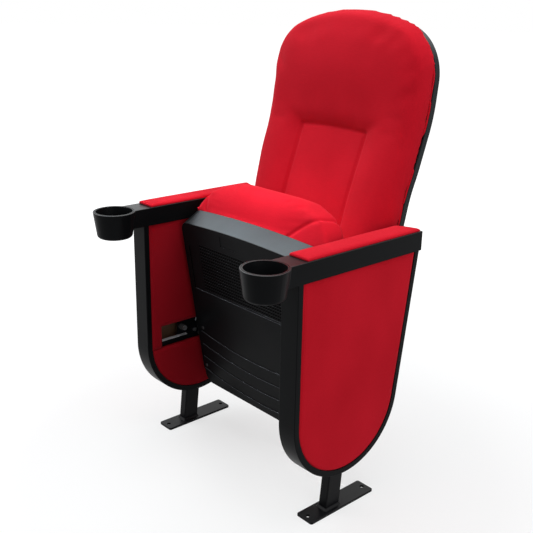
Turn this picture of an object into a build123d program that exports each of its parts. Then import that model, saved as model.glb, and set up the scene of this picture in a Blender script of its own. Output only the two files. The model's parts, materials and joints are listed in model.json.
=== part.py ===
from build123d import *
import os
from math import atan2, cos, degrees, radians, sin, tan

# Tip-up auditorium seat, millimetres and degrees. X runs across the row, the seat faces -Y, +Z is up.
# The origin is on the floor, in the middle of the four floor bolts. Left is the sitter's left, +X.
os.makedirs("parts", exist_ok=True)

# ---- row ----
CENTRES = 560.0              # middle to middle of the two standards
FIT = 0.5                    # gap round a panel or a cover
TOUCH = 0.2                  # gap between faces that rest together
BOLT_FIT = 0.1               # radial clearance round a bolt
RUNNING_FIT = 0.05           # radial clearance of the seat pivot

# ---- floor plate and post ----
PLATE_W = 50.0
PLATE_L = 212.0
PLATE_T = 6.0
PLATE_CORNER = 5.0
FLOOR_HOLE_D = 11.0
FLOOR_HOLE_PITCH = 186.0
POST_W = 25.0
POST_D = 45.0
POST_WALL = 2.0
POST_LEAN = 5.5
POST_FOOT_Y = -24.5
WELD = 4.5

# ---- standard: edge band and upholstered boards ----
STANDARD_T = 50.8
STANDARD_R = 170.0
STANDARD_R_Z = 268.0
STANDARD_TOP = 602.0
STANDARD_LEAN = 7.7
BAND_DEPTH = 14.0
BAND_WALL = 3.0
BAND_ROUND = 1.6
BOARD_T = 11.0
FABRIC_T = 1.2
SPLIT_Z = 255.5
NOTCH_FRONT_Y = -125.0
NOTCH_REAR_Y = 62.0
NOTCH_TOP_Z = 318.0
BLOCK_L = 80.0
BLOCK_REACH = 56.0
PANEL_SCREW_D = 4.0
PANEL_SCREW_L = 22.0

# ---- armrest with its cup ----
ARM_W = 61.0
ARM_H = 45.3
ARM_REAR_Y = 219.0
ARM_WALL = 4.0
ARM_ROUND = 3.0
NECK_ROUND = 6.0
CUP_Y = -238.8
CUP_R = 52.0
CUP_BASE_R = 43.0
CUP_WALL = 6.0
CUP_DEPTH = 66.0
CUP_FLOOR = 5.0
RIM_GROOVE = 1.5
RIM_RING = 3.0
PAD_T = 8.0
PAD_FRONT_Y = -151.0
PAD_REAR_CUT = 24.0
PAD_ROUND = 5.0
ARM_PLATE_W = 40.0
ARM_PLATE_L = 260.0
ARM_PLATE_T = 4.0
ARM_SCREW_D = 6.0
ARM_SCREW_L = 24.0
ARM_SCREW_PITCH = 200.0
ARM_BOSS_R = 7.0

# ---- seat pivot and stops ----
PIVOT_Y = 9.0
PIVOT_Z = 305.0
SEAT_TILT = 9.0              # how far past upright the folded seat leans
SEAT_TRAVEL = 78.0
PIN_R = 8.0
PIN_COLLAR_R = 11.5
PIN_COLLAR_T = 3.0
PIN_END = 1.5
BUSH_WALL = 3.0
BUSH_FLANGE = 1.0
CLIP_T = 1.4
CLIP_R = 11.5
BRACKET_T = 4.0
BRACKET_FRONT_Y = -68.0
BRACKET_REAR_Y = 60.0
STRAP_Z = 273.5
STRAP_OVERLAP = 27.0
STOP_R = 5.0
SLEEVE_R = 8.0
SLEEVE_L = 17.0
STOP_HEAD_R = 6.5
STOP_HEAD_T = 4.0
STOP_GAP = 0.3
DOWN_STOP_F = 66.0
UP_STOP_F = -38.0
BRACKET_BOLT_D = 8.0
BRACKET_BOLT_L = 12.0
BRACKET_BOLT_PITCH = 28.0
BRACKET_BOLT_DROP = 26.0
SPRING_R = 17.5
SPRING_WIRE_R = 1.8
SPRING_TURNS = 2

# ---- seat: places are f forward of the pivot and h above it, across the seat ----
SHELL_REAR_F = -165.0
SHELL_FRONT_F = 312.0
SHELL_BOW = 10.0
SEAT_SIDE_GAP = 12.6         # from the tray's front corner to the standard
SHELL_TAPER = 5.0
SHELL_CORNER = 25.0
SHELL_REAR_CORNER = 45.0
SHELL_UNDER_H = -30.0
SHELL_RIM_H = 21.5
LIP_FLARE = 18.0
SIDE_FLARE = 2.0
SHELL_WALL = 3.5
SHELL_FLOOR = 5.0
PANEL_EDGE = 22.0            # from the stepped panel's side to the tray's side
PANEL_TOP_F = 123.0
PANEL_STEP = 2.5
PANEL_CORNER = 25.0
GROOVE_W = 4.0
GROOVE_D = 2.2
GROOVE_TOP_F = 243.0
FIELD_EDGE = 37.0            # from the vent field's side to the stepped panel's side
FIELD_LOW_F = 126.5
FIELD_TOP_F = 256.5
FIELD_D = 1.5
SMILE_FIRST_F = -28.0
SMILE_PITCH = 38.0
SMILE_COUNT = 4
SMILE_R = 1085.0
SMILE_STEP = 2.0
NUMBER_X = 55.0
NUMBER_F = 285.0
NUMBER_W = 56.0
NUMBER_H = 27.0
NUMBER_D = 1.0
RAIL = 20.0
RAIL_WALL = 2.0
RAIL_EDGE = 16.0              # from the rail's outer face to the tray's side
RAIL_LOW_H = 2.0
RAIL_REAR_F = -145.0
RAIL_FRONT_F = 240.0
SEAT_BOARD_T = 12.0
SEAT_BOARD_GAP = 3.0
CUSHION_TOP_H = 118.0
CUSHION_REAR_H = 106.0
NOSE_F = 402.0
NOSE_LOW_H = 68.0
NOSE_LEAN = 12.0
NOSE_SAG = 45.0              # how far the nose's corners lie behind its middle
NOSE_LOW_ROUND = 22.0
NOSE_TOP_ROUND = 34.0
CUSHION_CORNER = 95.0
CUSHION_ROUND = 45.0
CUSHION_REAR_ROUND = 30.0
CUSHION_CROWN = 30.0         # how far the top falls from its middle to its sides
HINGE_T = 4.0
HINGE_GAP = 6.6             # from the hinge plate's middle to the standard
HINGE_TOP_H = 30.0
HINGE_REAR_F = -56.0
HINGE_FRONT_F = 92.0
HINGE_HUB_R = 25.0
HUB_WALL = 4.0
HUB_L = 10.0
HINGE_BOLT_D = 6.0
HINGE_BOLT_HEAD_T = 3.5
HINGE_BOLTS_F = (-42.0, 44.0, 78.0)
HINGE_BOLT_H = 12.0
HINGE_BOSS_R = 7.5
SHELL_SCREW_D = 5.0
SHELL_SCREW_IN = 3.0         # from the rail's middle inwards to a tray screw
SHELL_SCREWS_F = (-110.0, 4.0)
SHELL_BOSS_R = 7.0

# ---- back: places are (Y, Z) in side view and half widths in front view ----
BACK_TOP_Z = 1131.0
BACK_TUCK = 152.0            # how far the back reaches down between the standards
BACK_MID_DROP = 371.0        # from the back's top down to where its sides turn upright
KNEE_DROP = 416.0            # the same to the shell's lower bend
NECK_DROP = 241.0            # the same to the shell's upper bend
HEAD_DROP = 281.0            # the same to the cushion's upper bend
LUMBAR_RISE = 98.0           # from the back's foot up to the cushion's fullest line
BACK_FOOT_GAP = 28.6         # from the back to the standard's inner face, at its foot
BACK_SIDE_GAP = 3.6          # the same at its widest straight part
BACK_TOP_GAP = 0.6           # the same at its shoulders
BACK_TOP_R = 546.0
BACK_SHOULDER_R = 128.0
BACK_LOW_CORNER = 40.0
BACK_LOW_Z = STANDARD_TOP - BACK_TUCK
BACK_MID_Z = BACK_TOP_Z - BACK_MID_DROP
KNEE_Z = BACK_TOP_Z - KNEE_DROP
NECK_Z = BACK_TOP_Z - NECK_DROP
LUMBAR_Z = BACK_LOW_Z + LUMBAR_RISE
HEAD_Z = BACK_TOP_Z - HEAD_DROP
REAR_LINE = ((212.0, BACK_LOW_Z), (248.0, KNEE_Z), (306.0, NECK_Z), (330.0, BACK_TOP_Z))
FRONT_LINE = ((160.0, BACK_LOW_Z), (131.0, LUMBAR_Z), (228.0, HEAD_Z), (262.0, BACK_TOP_Z))
REAR_BENDS = (350.0, 350.0)
FRONT_BENDS = (110.0, 420.0)
BACK_SHELL_DEPTH = 19.0
BACK_SHELL_DROP = 12.0        # how far the shell's top stands below the cushion's
BACK_SHELL_WALL = 3.5
BACK_SHELL_ROUND = 5.0
BACK_BOARD_T = 9.0
BACK_BOARD_INSET = 7.0
BACK_CUSHION_INSET = 1.0
BACK_CUSHION_ROUND = 17.0
BACK_SCREW_D = 5.0
BACK_SCREW_L = 7.0
BACK_BOSS_R = 6.5
BACK_SCREW_RISE = 70.0       # from the back's foot up to the lowest screws
BACK_SCREW_DROPS = (351.0, 91.0)
BACK_SCREWS_IN = (94.6, 64.6, 104.6)
BACK_SCREWS_Z = (BACK_LOW_Z + BACK_SCREW_RISE,) + tuple(BACK_TOP_Z - drop for drop in BACK_SCREW_DROPS)

# ---- back bracket ----
WING_T = 5.0
WING_DROP = 57.0             # from the top of the standard to the wing's middle
WING_H = 84.0
WING_FORWARD = 46.0
WING_IN = 52.0
WING_BOLT_D = 8.0
WING_BOLT_PITCH = 50.0
WING_FIT = 0.4

HALF = CENTRES / 2
INSIDE = HALF - STANDARD_T / 2                      # inner face of the standard
SIDE = POST_W / 2                                   # the boards' inner faces, from the standard's middle
PANEL_FACE = SIDE + BOARD_T + FABRIC_T
PANEL_INSET = BAND_DEPTH + FIT
ARM_TOP = STANDARD_TOP + ARM_H
SHELL_HALF_FRONT = INSIDE - SEAT_SIDE_GAP
SHELL_HALF_REAR = SHELL_HALF_FRONT - SHELL_TAPER
PANEL_HALF = SHELL_HALF_REAR - PANEL_EDGE
FIELD_HALF = PANEL_HALF - FIELD_EDGE
RAIL_X = SHELL_HALF_REAR - RAIL_EDGE - RAIL / 2
SHELL_SCREW_X = RAIL_X - SHELL_SCREW_IN
HINGE_X = INSIDE - HINGE_GAP
BACK_HALF_LOW = INSIDE - BACK_FOOT_GAP
BACK_HALF_MID = INSIDE - BACK_SIDE_GAP
BACK_HALF_TOP = INSIDE - BACK_TOP_GAP
WING_Z = STANDARD_TOP - WING_DROP
POST_TAN = tan(radians(POST_LEAN))
TILT = radians(SEAT_TILT)
LOWERED = radians(SEAT_TILT + SEAT_TRAVEL)
SEAT_PLANE = Plane(origin=(0, PIVOT_Y, PIVOT_Z), x_dir=(-1, 0, 0), z_dir=(0, cos(TILT), sin(TILT)))
BOARD_LOW_H = RAIL_LOW_H + RAIL
CUSHION_LOW_H = BOARD_LOW_H
BUSH_R = PIN_R + RUNNING_FIT + BUSH_WALL
HUB_R = BUSH_R + HUB_WALL
CLIP_X = HINGE_X - HINGE_T / 2 - BUSH_FLANGE - TOUCH - CLIP_T
PIN_IN_X = CLIP_X - PIN_END


# ---- helpers ----
def slab_x(face, x0, x1):
    """A face drawn in (Y, Z), made a slab from x0 to x1."""
    return extrude(Plane.YZ.offset(x0) * face, amount=x1 - x0, dir=(1, 0, 0))


def slab_y(face, y0, y1):
    """A face drawn in (X, Z), made a slab from y0 to y1."""
    plane = Plane(origin=(0, y0, 0), x_dir=(1, 0, 0), z_dir=(0, -1, 0))
    return extrude(plane * face, amount=y1 - y0, dir=(0, 1, 0))


def slab_z(face, z0, z1):
    """A face drawn in (X, Y), made a slab from z0 to z1."""
    return extrude(Pos(0, 0, z0) * face, amount=z1 - z0, dir=(0, 0, 1))


def block(x0, x1, y0, y1, z0, z1):
    return Pos((x0 + x1) / 2, (y0 + y1) / 2, (z0 + z1) / 2) * Box(x1 - x0, y1 - y0, z1 - z0)


def rod_x(radius, x0, x1, y, z):
    """A round bar along X, its ends given either way round."""
    return Pos((x0 + x1) / 2, y, z) * Rot(0, 90, 0) * Cylinder(radius, abs(x1 - x0))


def rod_z(radius, z0, z1, x, y):
    """A round bar along Z."""
    return Pos(x, y, (z0 + z1) / 2) * Cylinder(radius, z1 - z0)


def rounded(solid, edges, radius):
    """The solid with those edges rounded."""
    return fillet(edges, radius=radius) if edges else solid


def both(side_part):
    """A piece of the left standard in its place, and its mirror image for the right one."""
    left = Pos(HALF, 0, 0) * side_part
    return left, mirror(left, about=Plane.YZ)


def pair(part):
    """A piece on the left and its mirror image."""
    return part, mirror(part, about=Plane.YZ)


def in_seat(part):
    """A piece drawn as (across, f, h) round the pivot, put in the folded seat."""
    return SEAT_PLANE.location * part


def seat_point(f, h, angle=TILT):
    """The (Y, Z) of a place on the seat, folded or turned down by another angle."""
    y = PIVOT_Y - f * sin(angle) + h * cos(angle)
    return y, PIVOT_Z + f * cos(angle) + h * sin(angle)


# ---- standard, drawn about its own middle with +X outwards ----
def standard_face(inset, top=STANDARD_TOP):
    """Side view of the standard, moved in from its edge: round foot, upright front, leaning rear."""
    radius = STANDARD_R - inset
    lean = radians(STANDARD_LEAN)
    heel = (radius * cos(lean), STANDARD_R_Z - radius * sin(lean))
    rear_top = (heel[0] + (top - heel[1]) * tan(lean), top)
    toe = (-radius, STANDARD_R_Z)
    return make_face([
        Line((-radius, top), toe),
        ThreePointArc(toe, (0, STANDARD_R_Z - radius), heel),
        Line(heel, rear_top),
        Line(rear_top, (-radius, top)),
    ])


def post_y(z):
    return POST_FOOT_Y + (z - PLATE_T) * POST_TAN


def leaning_bar(width, depth, z0, z1):
    """A bar along the post's line, level at both ends."""
    half = depth / 2 / cos(radians(POST_LEAN))
    side = make_face(Polyline(
        (post_y(z0) - half, z0), (post_y(z0) + half, z0),
        (post_y(z1) + half, z1), (post_y(z1) - half, z1), close=True))
    return slab_x(side, -width / 2, width / 2)


def floor_plate():
    plate = slab_z(RectangleRounded(PLATE_W, PLATE_L, PLATE_CORNER), 0, PLATE_T)
    plate = fillet(plate.faces().sort_by(Axis.Z)[-1].edges(), radius=PLATE_T / 8)
    for y in (-FLOOR_HOLE_PITCH / 2, FLOOR_HOLE_PITCH / 2):
        plate -= rod_z(FLOOR_HOLE_D / 2, -PLATE_T, 2 * PLATE_T, 0, y)
    return plate


def post():
    tube = leaning_bar(POST_W, POST_D, PLATE_T, STANDARD_TOP)
    long_edges = tube.edges().filter_by(lambda e: e.length > STANDARD_TOP / 2)
    tube = fillet(long_edges, radius=POST_WALL * 1.5)
    bead = RectangleRounded(POST_W + 2 * WELD, POST_D + 2 * WELD, WELD)
    tube += Pos(0, POST_FOOT_Y, PLATE_T) * extrude(bead, amount=WELD, taper=43)
    tube -= leaning_bar(POST_W - 2 * POST_WALL, POST_D - 2 * POST_WALL, 0, STANDARD_TOP + PLATE_T)
    inner_wall = (-SIDE - POST_WALL, -SIDE + 2 * POST_WALL)
    tube -= rod_x(PIN_R, *inner_wall, PIVOT_Y, PIVOT_Z)
    tube -= rod_x(STOP_R + BOLT_FIT, *inner_wall, *stop_centre(UP_STOP_F, TILT))
    for y, z in bracket_bolt_places():
        tube -= rod_x(BRACKET_BOLT_D / 2 + BOLT_FIT, *inner_wall, y, z)
    return tube


def edge_band():
    """Channel moulding round the standard's edge, open towards the boards."""
    half = STANDARD_T / 2
    band = slab_x(standard_face(0), -half, half)
    on_side = [e for e in band.edges() if abs(abs(e.center().X) - half) < 0.01]
    band = rounded(band, [e for e in on_side if e.center().Z < STANDARD_TOP - 1], BAND_ROUND)
    band -= slab_x(standard_face(BAND_DEPTH, STANDARD_TOP + BAND_WALL), -STANDARD_T, STANDARD_T)
    inside = half - BAND_WALL
    band -= slab_x(standard_face(BAND_WALL, STANDARD_TOP + BAND_WALL), -inside, inside)
    band -= leaning_bar(POST_W + 2 * FIT, POST_D + 2 * FIT, 0, STANDARD_R_Z)
    return band


def notch(grow):
    """The window in the inner panel, rounder over the hinge's spring; grown for the cover that wraps it."""
    width = NOTCH_REAR_Y - NOTCH_FRONT_Y + 2 * grow
    low = SPLIT_Z - BLOCK_L
    middle = ((NOTCH_REAR_Y + NOTCH_FRONT_Y) / 2, (NOTCH_TOP_Z + grow + low) / 2)
    window = Pos(*middle) * Rectangle(width, NOTCH_TOP_Z + grow - low)
    return window + Pos(PIVOT_Y, PIVOT_Z) * Circle(SPRING_R + SPRING_WIRE_R + 2 * FIT + grow)


def half_plane(z, above):
    reach = 2 * STANDARD_TOP
    return Pos(0, z + (reach / 2 if above else -reach / 2)) * Rectangle(reach, reach)


def outer_panel_face(inset):
    return standard_face(PANEL_INSET + inset, STANDARD_TOP - FIT - inset)


def upper_panel_face(inset):
    face = outer_panel_face(inset) & half_plane(SPLIT_Z + FIT + inset, True)
    return face - notch(inset)


def lower_panel_face(inset):
    return outer_panel_face(inset) & half_plane(SPLIT_Z - FIT - inset, False)


def panel(face_of, side):
    """A board and the cover that wraps its face and edges; side is 1 outside and -1 inside."""
    board = slab_x(face_of(FABRIC_T), side * SIDE, side * (SIDE + BOARD_T))
    wrap = slab_x(face_of(0), side * SIDE, side * PANEL_FACE) - board
    if side < 0:
        for y, z in wing_bolt_places():
            hole = rod_x(WING_BOLT_D / 2 + BOLT_FIT, -STANDARD_T, 0, y, z)
            board -= hole
            wrap -= hole
        for y, z in panel_screw_places():
            board -= rod_x(PANEL_SCREW_D / 2, -STANDARD_T, 0, y, z)
    return board, wrap


def block_places():
    """Middle (Y, Z) of each wooden block between the boards."""
    reach = STANDARD_R - BLOCK_REACH / 2
    rear = reach + (STANDARD_TOP - STANDARD_R_Z) * tan(radians(STANDARD_LEAN)) / 2
    return (
        (-reach, STANDARD_TOP - BLOCK_L * 0.75),
        (-reach, (STANDARD_TOP + SPLIT_Z) / 2 - BLOCK_L / 2),
        (-reach * 0.65, STANDARD_R_Z - reach * 0.8),
        (reach * 0.65, STANDARD_R_Z - reach * 0.75),
        (rear + BAND_DEPTH / 2, WING_Z),
        (reach, STANDARD_R_Z + BLOCK_L),
    )


def spacer_blocks():
    """Wooden blocks that join the two boards and reach into the band's channel."""
    within = slab_x(standard_face(BAND_WALL + TOUCH), -SIDE, SIDE)
    blocks = []
    for y, z in block_places():
        one = Pos(0, y, z) * Box(POST_W, BLOCK_REACH, BLOCK_L) & within
        for bolt_y, bolt_z in wing_bolt_places():
            one -= rod_x(WING_BOLT_D / 2 + BOLT_FIT, -STANDARD_T, STANDARD_T, bolt_y, bolt_z)
        for screw_y, screw_z in panel_screw_places():
            one -= rod_x(PANEL_SCREW_D / 2, -STANDARD_T, PANEL_SCREW_L - SIDE - BOARD_T, screw_y, screw_z)
        blocks.append(one)
    return Compound(children=blocks)


def panel_screw_places():
    """Where the inner boards are screwed to the blocks, under their covers."""
    return [(y, z) for y, z in block_places() if z != WING_Z]


def panel_screws():
    start = -SIDE - BOARD_T
    screws = []
    for y, z in panel_screw_places():
        screw = rod_x(PANEL_SCREW_D / 2, start, start + PANEL_SCREW_L, y, z)
        screws.append(screw)
    return Compound(children=screws)


# ---- seat hinge, in the standard ----
def stop_centre(f, angle):
    """Middle of a stop that the hinge plate's lower edge meets, f along the plate."""
    return seat_point(f, -SLEEVE_R - STOP_GAP, angle)


def stop_places():
    return stop_centre(DOWN_STOP_F, LOWERED), stop_centre(UP_STOP_F, TILT)


def bracket_bolt_places():
    z = PIVOT_Z - BRACKET_BOLT_DROP
    return [(post_y(z) + s * BRACKET_BOLT_PITCH / 2, z) for s in (-1, 1)]


def spring_hook():
    """Where the spring's ends leave its coil, at rest."""
    return PIVOT_Y - SPRING_R, PIVOT_Z


def seat_bracket():
    """Steel hinge plate on the post, with an arm and a strap that reach forward under the window."""
    low = SPLIT_Z + 2 * FIT
    high = NOTCH_TOP_Z - 2 * FIT
    plate = block(-SIDE - BRACKET_T, -SIDE, BRACKET_FRONT_Y, BRACKET_REAR_Y, low, high)
    plate = fillet(plate.edges().filter_by(Axis.X), radius=BRACKET_T)
    front = NOTCH_FRONT_Y + 2 * FIT
    z0 = STRAP_Z - BRACKET_T / 2
    plate += block(-SIDE - BRACKET_T, -SIDE, front, BRACKET_FRONT_Y + BRACKET_T, low, z0 + BRACKET_T)
    plate += block(-PANEL_FACE, -SIDE, front, BRACKET_FRONT_Y + STRAP_OVERLAP, z0, z0 + BRACKET_T)
    plate -= rod_x(PIN_R, -STANDARD_T, 0, PIVOT_Y, PIVOT_Z)
    plate -= rod_x(SPRING_WIRE_R + TOUCH, -STANDARD_T, 0, *spring_hook())
    for y, z in stop_places():
        plate -= rod_x(STOP_R + BOLT_FIT, -STANDARD_T, 0, y, z)
    for y, z in bracket_bolt_places():
        plate -= rod_x(BRACKET_BOLT_D / 2 + BOLT_FIT, -STANDARD_T, 0, y, z)
    return plate


def pivot_pin():
    """Fixed pin with a collar against the bracket and a groove for its clip."""
    pin = rod_x(PIN_R, PIN_IN_X - HALF, -SIDE + POST_WALL, PIVOT_Y, PIVOT_Z)
    collar = -SIDE - BRACKET_T
    pin += rod_x(PIN_COLLAR_R, collar - PIN_COLLAR_T, collar, PIVOT_Y, PIVOT_Z)
    groove = rod_x(PIN_R + 1, CLIP_X - HALF, CLIP_X - HALF + CLIP_T, PIVOT_Y, PIVOT_Z)
    return pin - (groove - rod_x(PIN_R - 1, -HALF, 0, PIVOT_Y, PIVOT_Z))


def pin_clip():
    x0 = CLIP_X - HALF + TOUCH / 2
    x1 = CLIP_X - HALF + CLIP_T - TOUCH / 2
    ring = rod_x(CLIP_R, x0, x1, PIVOT_Y, PIVOT_Z) - rod_x(PIN_R - 1, -HALF, 0, PIVOT_Y, PIVOT_Z)
    return ring - block(-HALF, 0, PIVOT_Y - 2, PIVOT_Y + 2, PIVOT_Z - 2 * CLIP_R, PIVOT_Z)


def stop_bolts():
    """The two stops that the hinge plate meets, each a shouldered bolt."""
    bolts = []
    for y, z in stop_places():
        face = -SIDE - BRACKET_T - SLEEVE_L
        bolt = rod_x(STOP_R, face, -SIDE + POST_WALL, y, z)
        bolt += rod_x(STOP_HEAD_R, face - STOP_HEAD_T, face, y, z)
        bolts.append(bolt)
    return Compound(children=bolts)


def stop_sleeves():
    """Rubber sleeves on the stops."""
    sleeves = []
    face = -SIDE - BRACKET_T
    for y, z in stop_places():
        sleeve = rod_x(SLEEVE_R, face - SLEEVE_L, face, y, z)
        sleeves.append(sleeve - rod_x(STOP_R, -HALF, 0, y, z))
    return Compound(children=sleeves)


def bracket_bolts():
    bolts = []
    face = -SIDE - BRACKET_T
    for y, z in bracket_bolt_places():
        bolt = rod_x(BRACKET_BOLT_D / 2, face, face + BRACKET_BOLT_L, y, z)
        head = extrude(RegularPolygon(BRACKET_BOLT_D * 0.75, 6), amount=BRACKET_BOLT_D * 0.6)
        bolt += Pos(face - BRACKET_BOLT_D * 0.6, y, z) * Rot(0, 90, 0) * head
        bolts.append(bolt)
    return Compound(children=bolts)


def return_spring():
    """Torsion spring round the hinge's hub, hooked in the bracket and in the hinge plate."""
    x0 = HINGE_X + HINGE_T / 2 - HALF + 2 * SPRING_WIRE_R
    x1 = -SIDE - BRACKET_T - FIT - SPRING_WIRE_R
    pitch = (x1 - x0) / SPRING_TURNS
    path = Helix(pitch=pitch, height=x1 - x0, radius=SPRING_R)
    wire = sweep(Plane(origin=path @ 0, z_dir=path % 0) * Circle(SPRING_WIRE_R), path=path, is_frenet=True)
    hook_y, hook_z = spring_hook()
    coil = Pos(x0, PIVOT_Y, PIVOT_Z) * Rot(180, 0, 0) * Rot(0, 90, 0) * Rot(0, 0, 90) * wire
    ends = rod_x(SPRING_WIRE_R, x0 - 2 * SPRING_WIRE_R - HINGE_T / 2, x0, hook_y, hook_z)
    ends += rod_x(SPRING_WIRE_R, x1, -SIDE - BRACKET_T / 2, hook_y, hook_z)
    return coil, ends


# ---- armrest ----
def arm_plate():
    """Steel plate welded on the post, under the armrest."""
    y = post_y(STANDARD_TOP)
    plate = slab_z(Pos(0, y) * RectangleRounded(ARM_PLATE_W, ARM_PLATE_L, ARM_PLATE_T),
                   STANDARD_TOP, STANDARD_TOP + ARM_PLATE_T)
    for screw_y in arm_screw_places():
        plate -= rod_z(ARM_SCREW_D / 2 + BOLT_FIT, 0, ARM_TOP, 0, screw_y)
    return plate


def arm_screw_places():
    y = post_y(STANDARD_TOP)
    return y - ARM_SCREW_PITCH / 2, y + ARM_SCREW_PITCH / 2


def arm_screws():
    screws = []
    for y in arm_screw_places():
        screw = rod_z(ARM_SCREW_D / 2, STANDARD_TOP, STANDARD_TOP + ARM_SCREW_L, 0, y)
        screw += rod_z(ARM_SCREW_D, STANDARD_TOP - ARM_SCREW_D / 2, STANDARD_TOP, 0, y)
        screws.append(screw)
    return Compound(children=screws)


def arm_face(half, front, rear):
    return Pos(0, (front + rear) / 2) * Rectangle(2 * half, rear - front)


def armrest():
    """Hollow moulding with the cup at its front and two screw bosses inside."""
    base = STANDARD_TOP
    cup_base = ARM_TOP - CUP_DEPTH
    body = slab_z(arm_face(ARM_W / 2, CUP_Y, ARM_REAR_Y), base, ARM_TOP)
    cup = Pos(0, CUP_Y, cup_base) * extrude(Circle(CUP_BASE_R), amount=CUP_DEPTH, taper=-cup_taper())
    cup = fillet(cup.faces().sort_by(Axis.Z)[0].edges(), radius=CUP_WALL * 1.5)
    body += cup
    joins = [e for e in body.edges() if is_neck_join(e.center())]
    body = fillet(joins, radius=NECK_ROUND)
    corner = body.edges().filter_by(Axis.Z).sort_by(Axis.Y)[-2:]
    body = fillet(corner, radius=ARM_ROUND)
    top_rim = body.faces().sort_by(Axis.Z)[-1].outer_wire().edges()
    body = fillet(top_rim, radius=ARM_ROUND / 2)
    well = Pos(0, CUP_Y, cup_base + CUP_FLOOR) * extrude(
        Circle(CUP_BASE_R - CUP_WALL), amount=CUP_DEPTH, taper=-cup_taper())
    well = fillet(well.faces().sort_by(Axis.Z)[0].edges(), radius=CUP_WALL)
    body -= well
    ring_r = CUP_R - RIM_RING
    ring = rod_z(ring_r, ARM_TOP - RIM_GROOVE, ARM_TOP + 1, 0, CUP_Y)
    body -= ring - rod_z(ring_r - RIM_GROOVE, base, ARM_TOP + 2, 0, CUP_Y)
    front = -STANDARD_R + ARM_WALL
    body -= slab_z(arm_face(ARM_W / 2 - ARM_WALL, front, ARM_REAR_Y - ARM_WALL), base - 1, ARM_TOP - ARM_WALL)
    for y in arm_screw_places():
        boss = rod_z(ARM_BOSS_R, base + ARM_PLATE_T, ARM_TOP - ARM_WALL, 0, y)
        body += boss - rod_z(ARM_SCREW_D / 2, base, base + ARM_SCREW_L, 0, y)
    return body


def is_neck_join(middle):
    """Whether an edge's middle lies where the arm's side runs into the cup."""
    on_side = abs(abs(middle.X) - ARM_W / 2) < 0.01
    return on_side and middle.Y < PAD_FRONT_Y and STANDARD_TOP < middle.Z < ARM_TOP


def cup_taper():
    return degrees(atan2(CUP_R - CUP_BASE_R, CUP_DEPTH))


def pad_face(inset):
    """Plan of the arm pad: square front, rear cut back towards the seat."""
    half = ARM_W / 2 - inset
    front = PAD_FRONT_Y + inset
    rear = ARM_REAR_Y - ARM_ROUND - inset
    face = make_face(Polyline(
        (-half, front), (half, front), (half, rear), (-half, rear - PAD_REAR_CUT), close=True))
    return fillet(face.vertices(), radius=PAD_ROUND - inset)


def pad_body(inset):
    body = slab_z(pad_face(inset), ARM_TOP, ARM_TOP + PAD_T - inset)
    return fillet(body.faces().sort_by(Axis.Z)[-1].edges(), radius=PAD_ROUND - inset)


# ---- seat, drawn as (across, f, h) ----
def shell_face(half_rear, half_front, rear, front, inset=0):
    """Plan of the seat: straight sides that widen forwards, bowed front, rounded corners."""
    bow = front - SHELL_BOW
    face = make_face([
        Line((-half_rear, rear), (half_rear, rear)),
        Line((half_rear, rear), (half_front, bow)),
        ThreePointArc((half_front, bow), (0, front), (-half_front, bow)),
        Line((-half_front, bow), (-half_rear, rear)),
    ])
    face = fillet(face.vertices().sort_by(Axis.Y)[-2:], radius=SHELL_CORNER - inset)
    return fillet(face.vertices().sort_by(Axis.Y)[:2], radius=SHELL_REAR_CORNER - inset)


def shell_block(inset, low, high):
    """The tray's outer shape, or its hollow when moved in by the wall."""
    faces = []
    for h in (low, high):
        rise = (h - SHELL_UNDER_H) / (SHELL_RIM_H - SHELL_UNDER_H)
        side = SIDE_FLARE * rise - inset
        faces.append(Pos(0, 0, h) * shell_face(
            SHELL_HALF_REAR + side, SHELL_HALF_FRONT + side, SHELL_REAR_F - side,
            SHELL_FRONT_F + LIP_FLARE * rise - inset, inset))
    return loft(faces)


def step_face(inset, top_f, bow_r):
    """Plan of a raised part of the underside, from the rear edge up to a straight or sagging line."""
    half = PANEL_HALF - inset
    rear = SHELL_REAR_F + SHELL_WALL + inset
    top = top_f - inset
    rise = 0 if bow_r is None else bow_r - (bow_r ** 2 - half ** 2) ** 0.5
    side = Polyline((-half, top + rise), (-half, rear), (half, rear), (half, top + rise))
    if rise:
        line = ThreePointArc((half, top + rise), (0, top), (-half, top + rise))
    else:
        line = Line((half, top), (-half, top))
    face = make_face([side, line])
    return fillet(face.vertices().sort_by(Axis.Y)[:2], radius=PANEL_CORNER - inset)


def underside_steps():
    """(top line, bow radius, drop below the tray's floor) of each step, the last one lowest."""
    steps = [(PANEL_TOP_F, None, PANEL_STEP)]
    for k in range(SMILE_COUNT):
        steps.append((SMILE_FIRST_F - k * SMILE_PITCH, SMILE_R, PANEL_STEP + (k + 1) * SMILE_STEP))
    return steps


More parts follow.
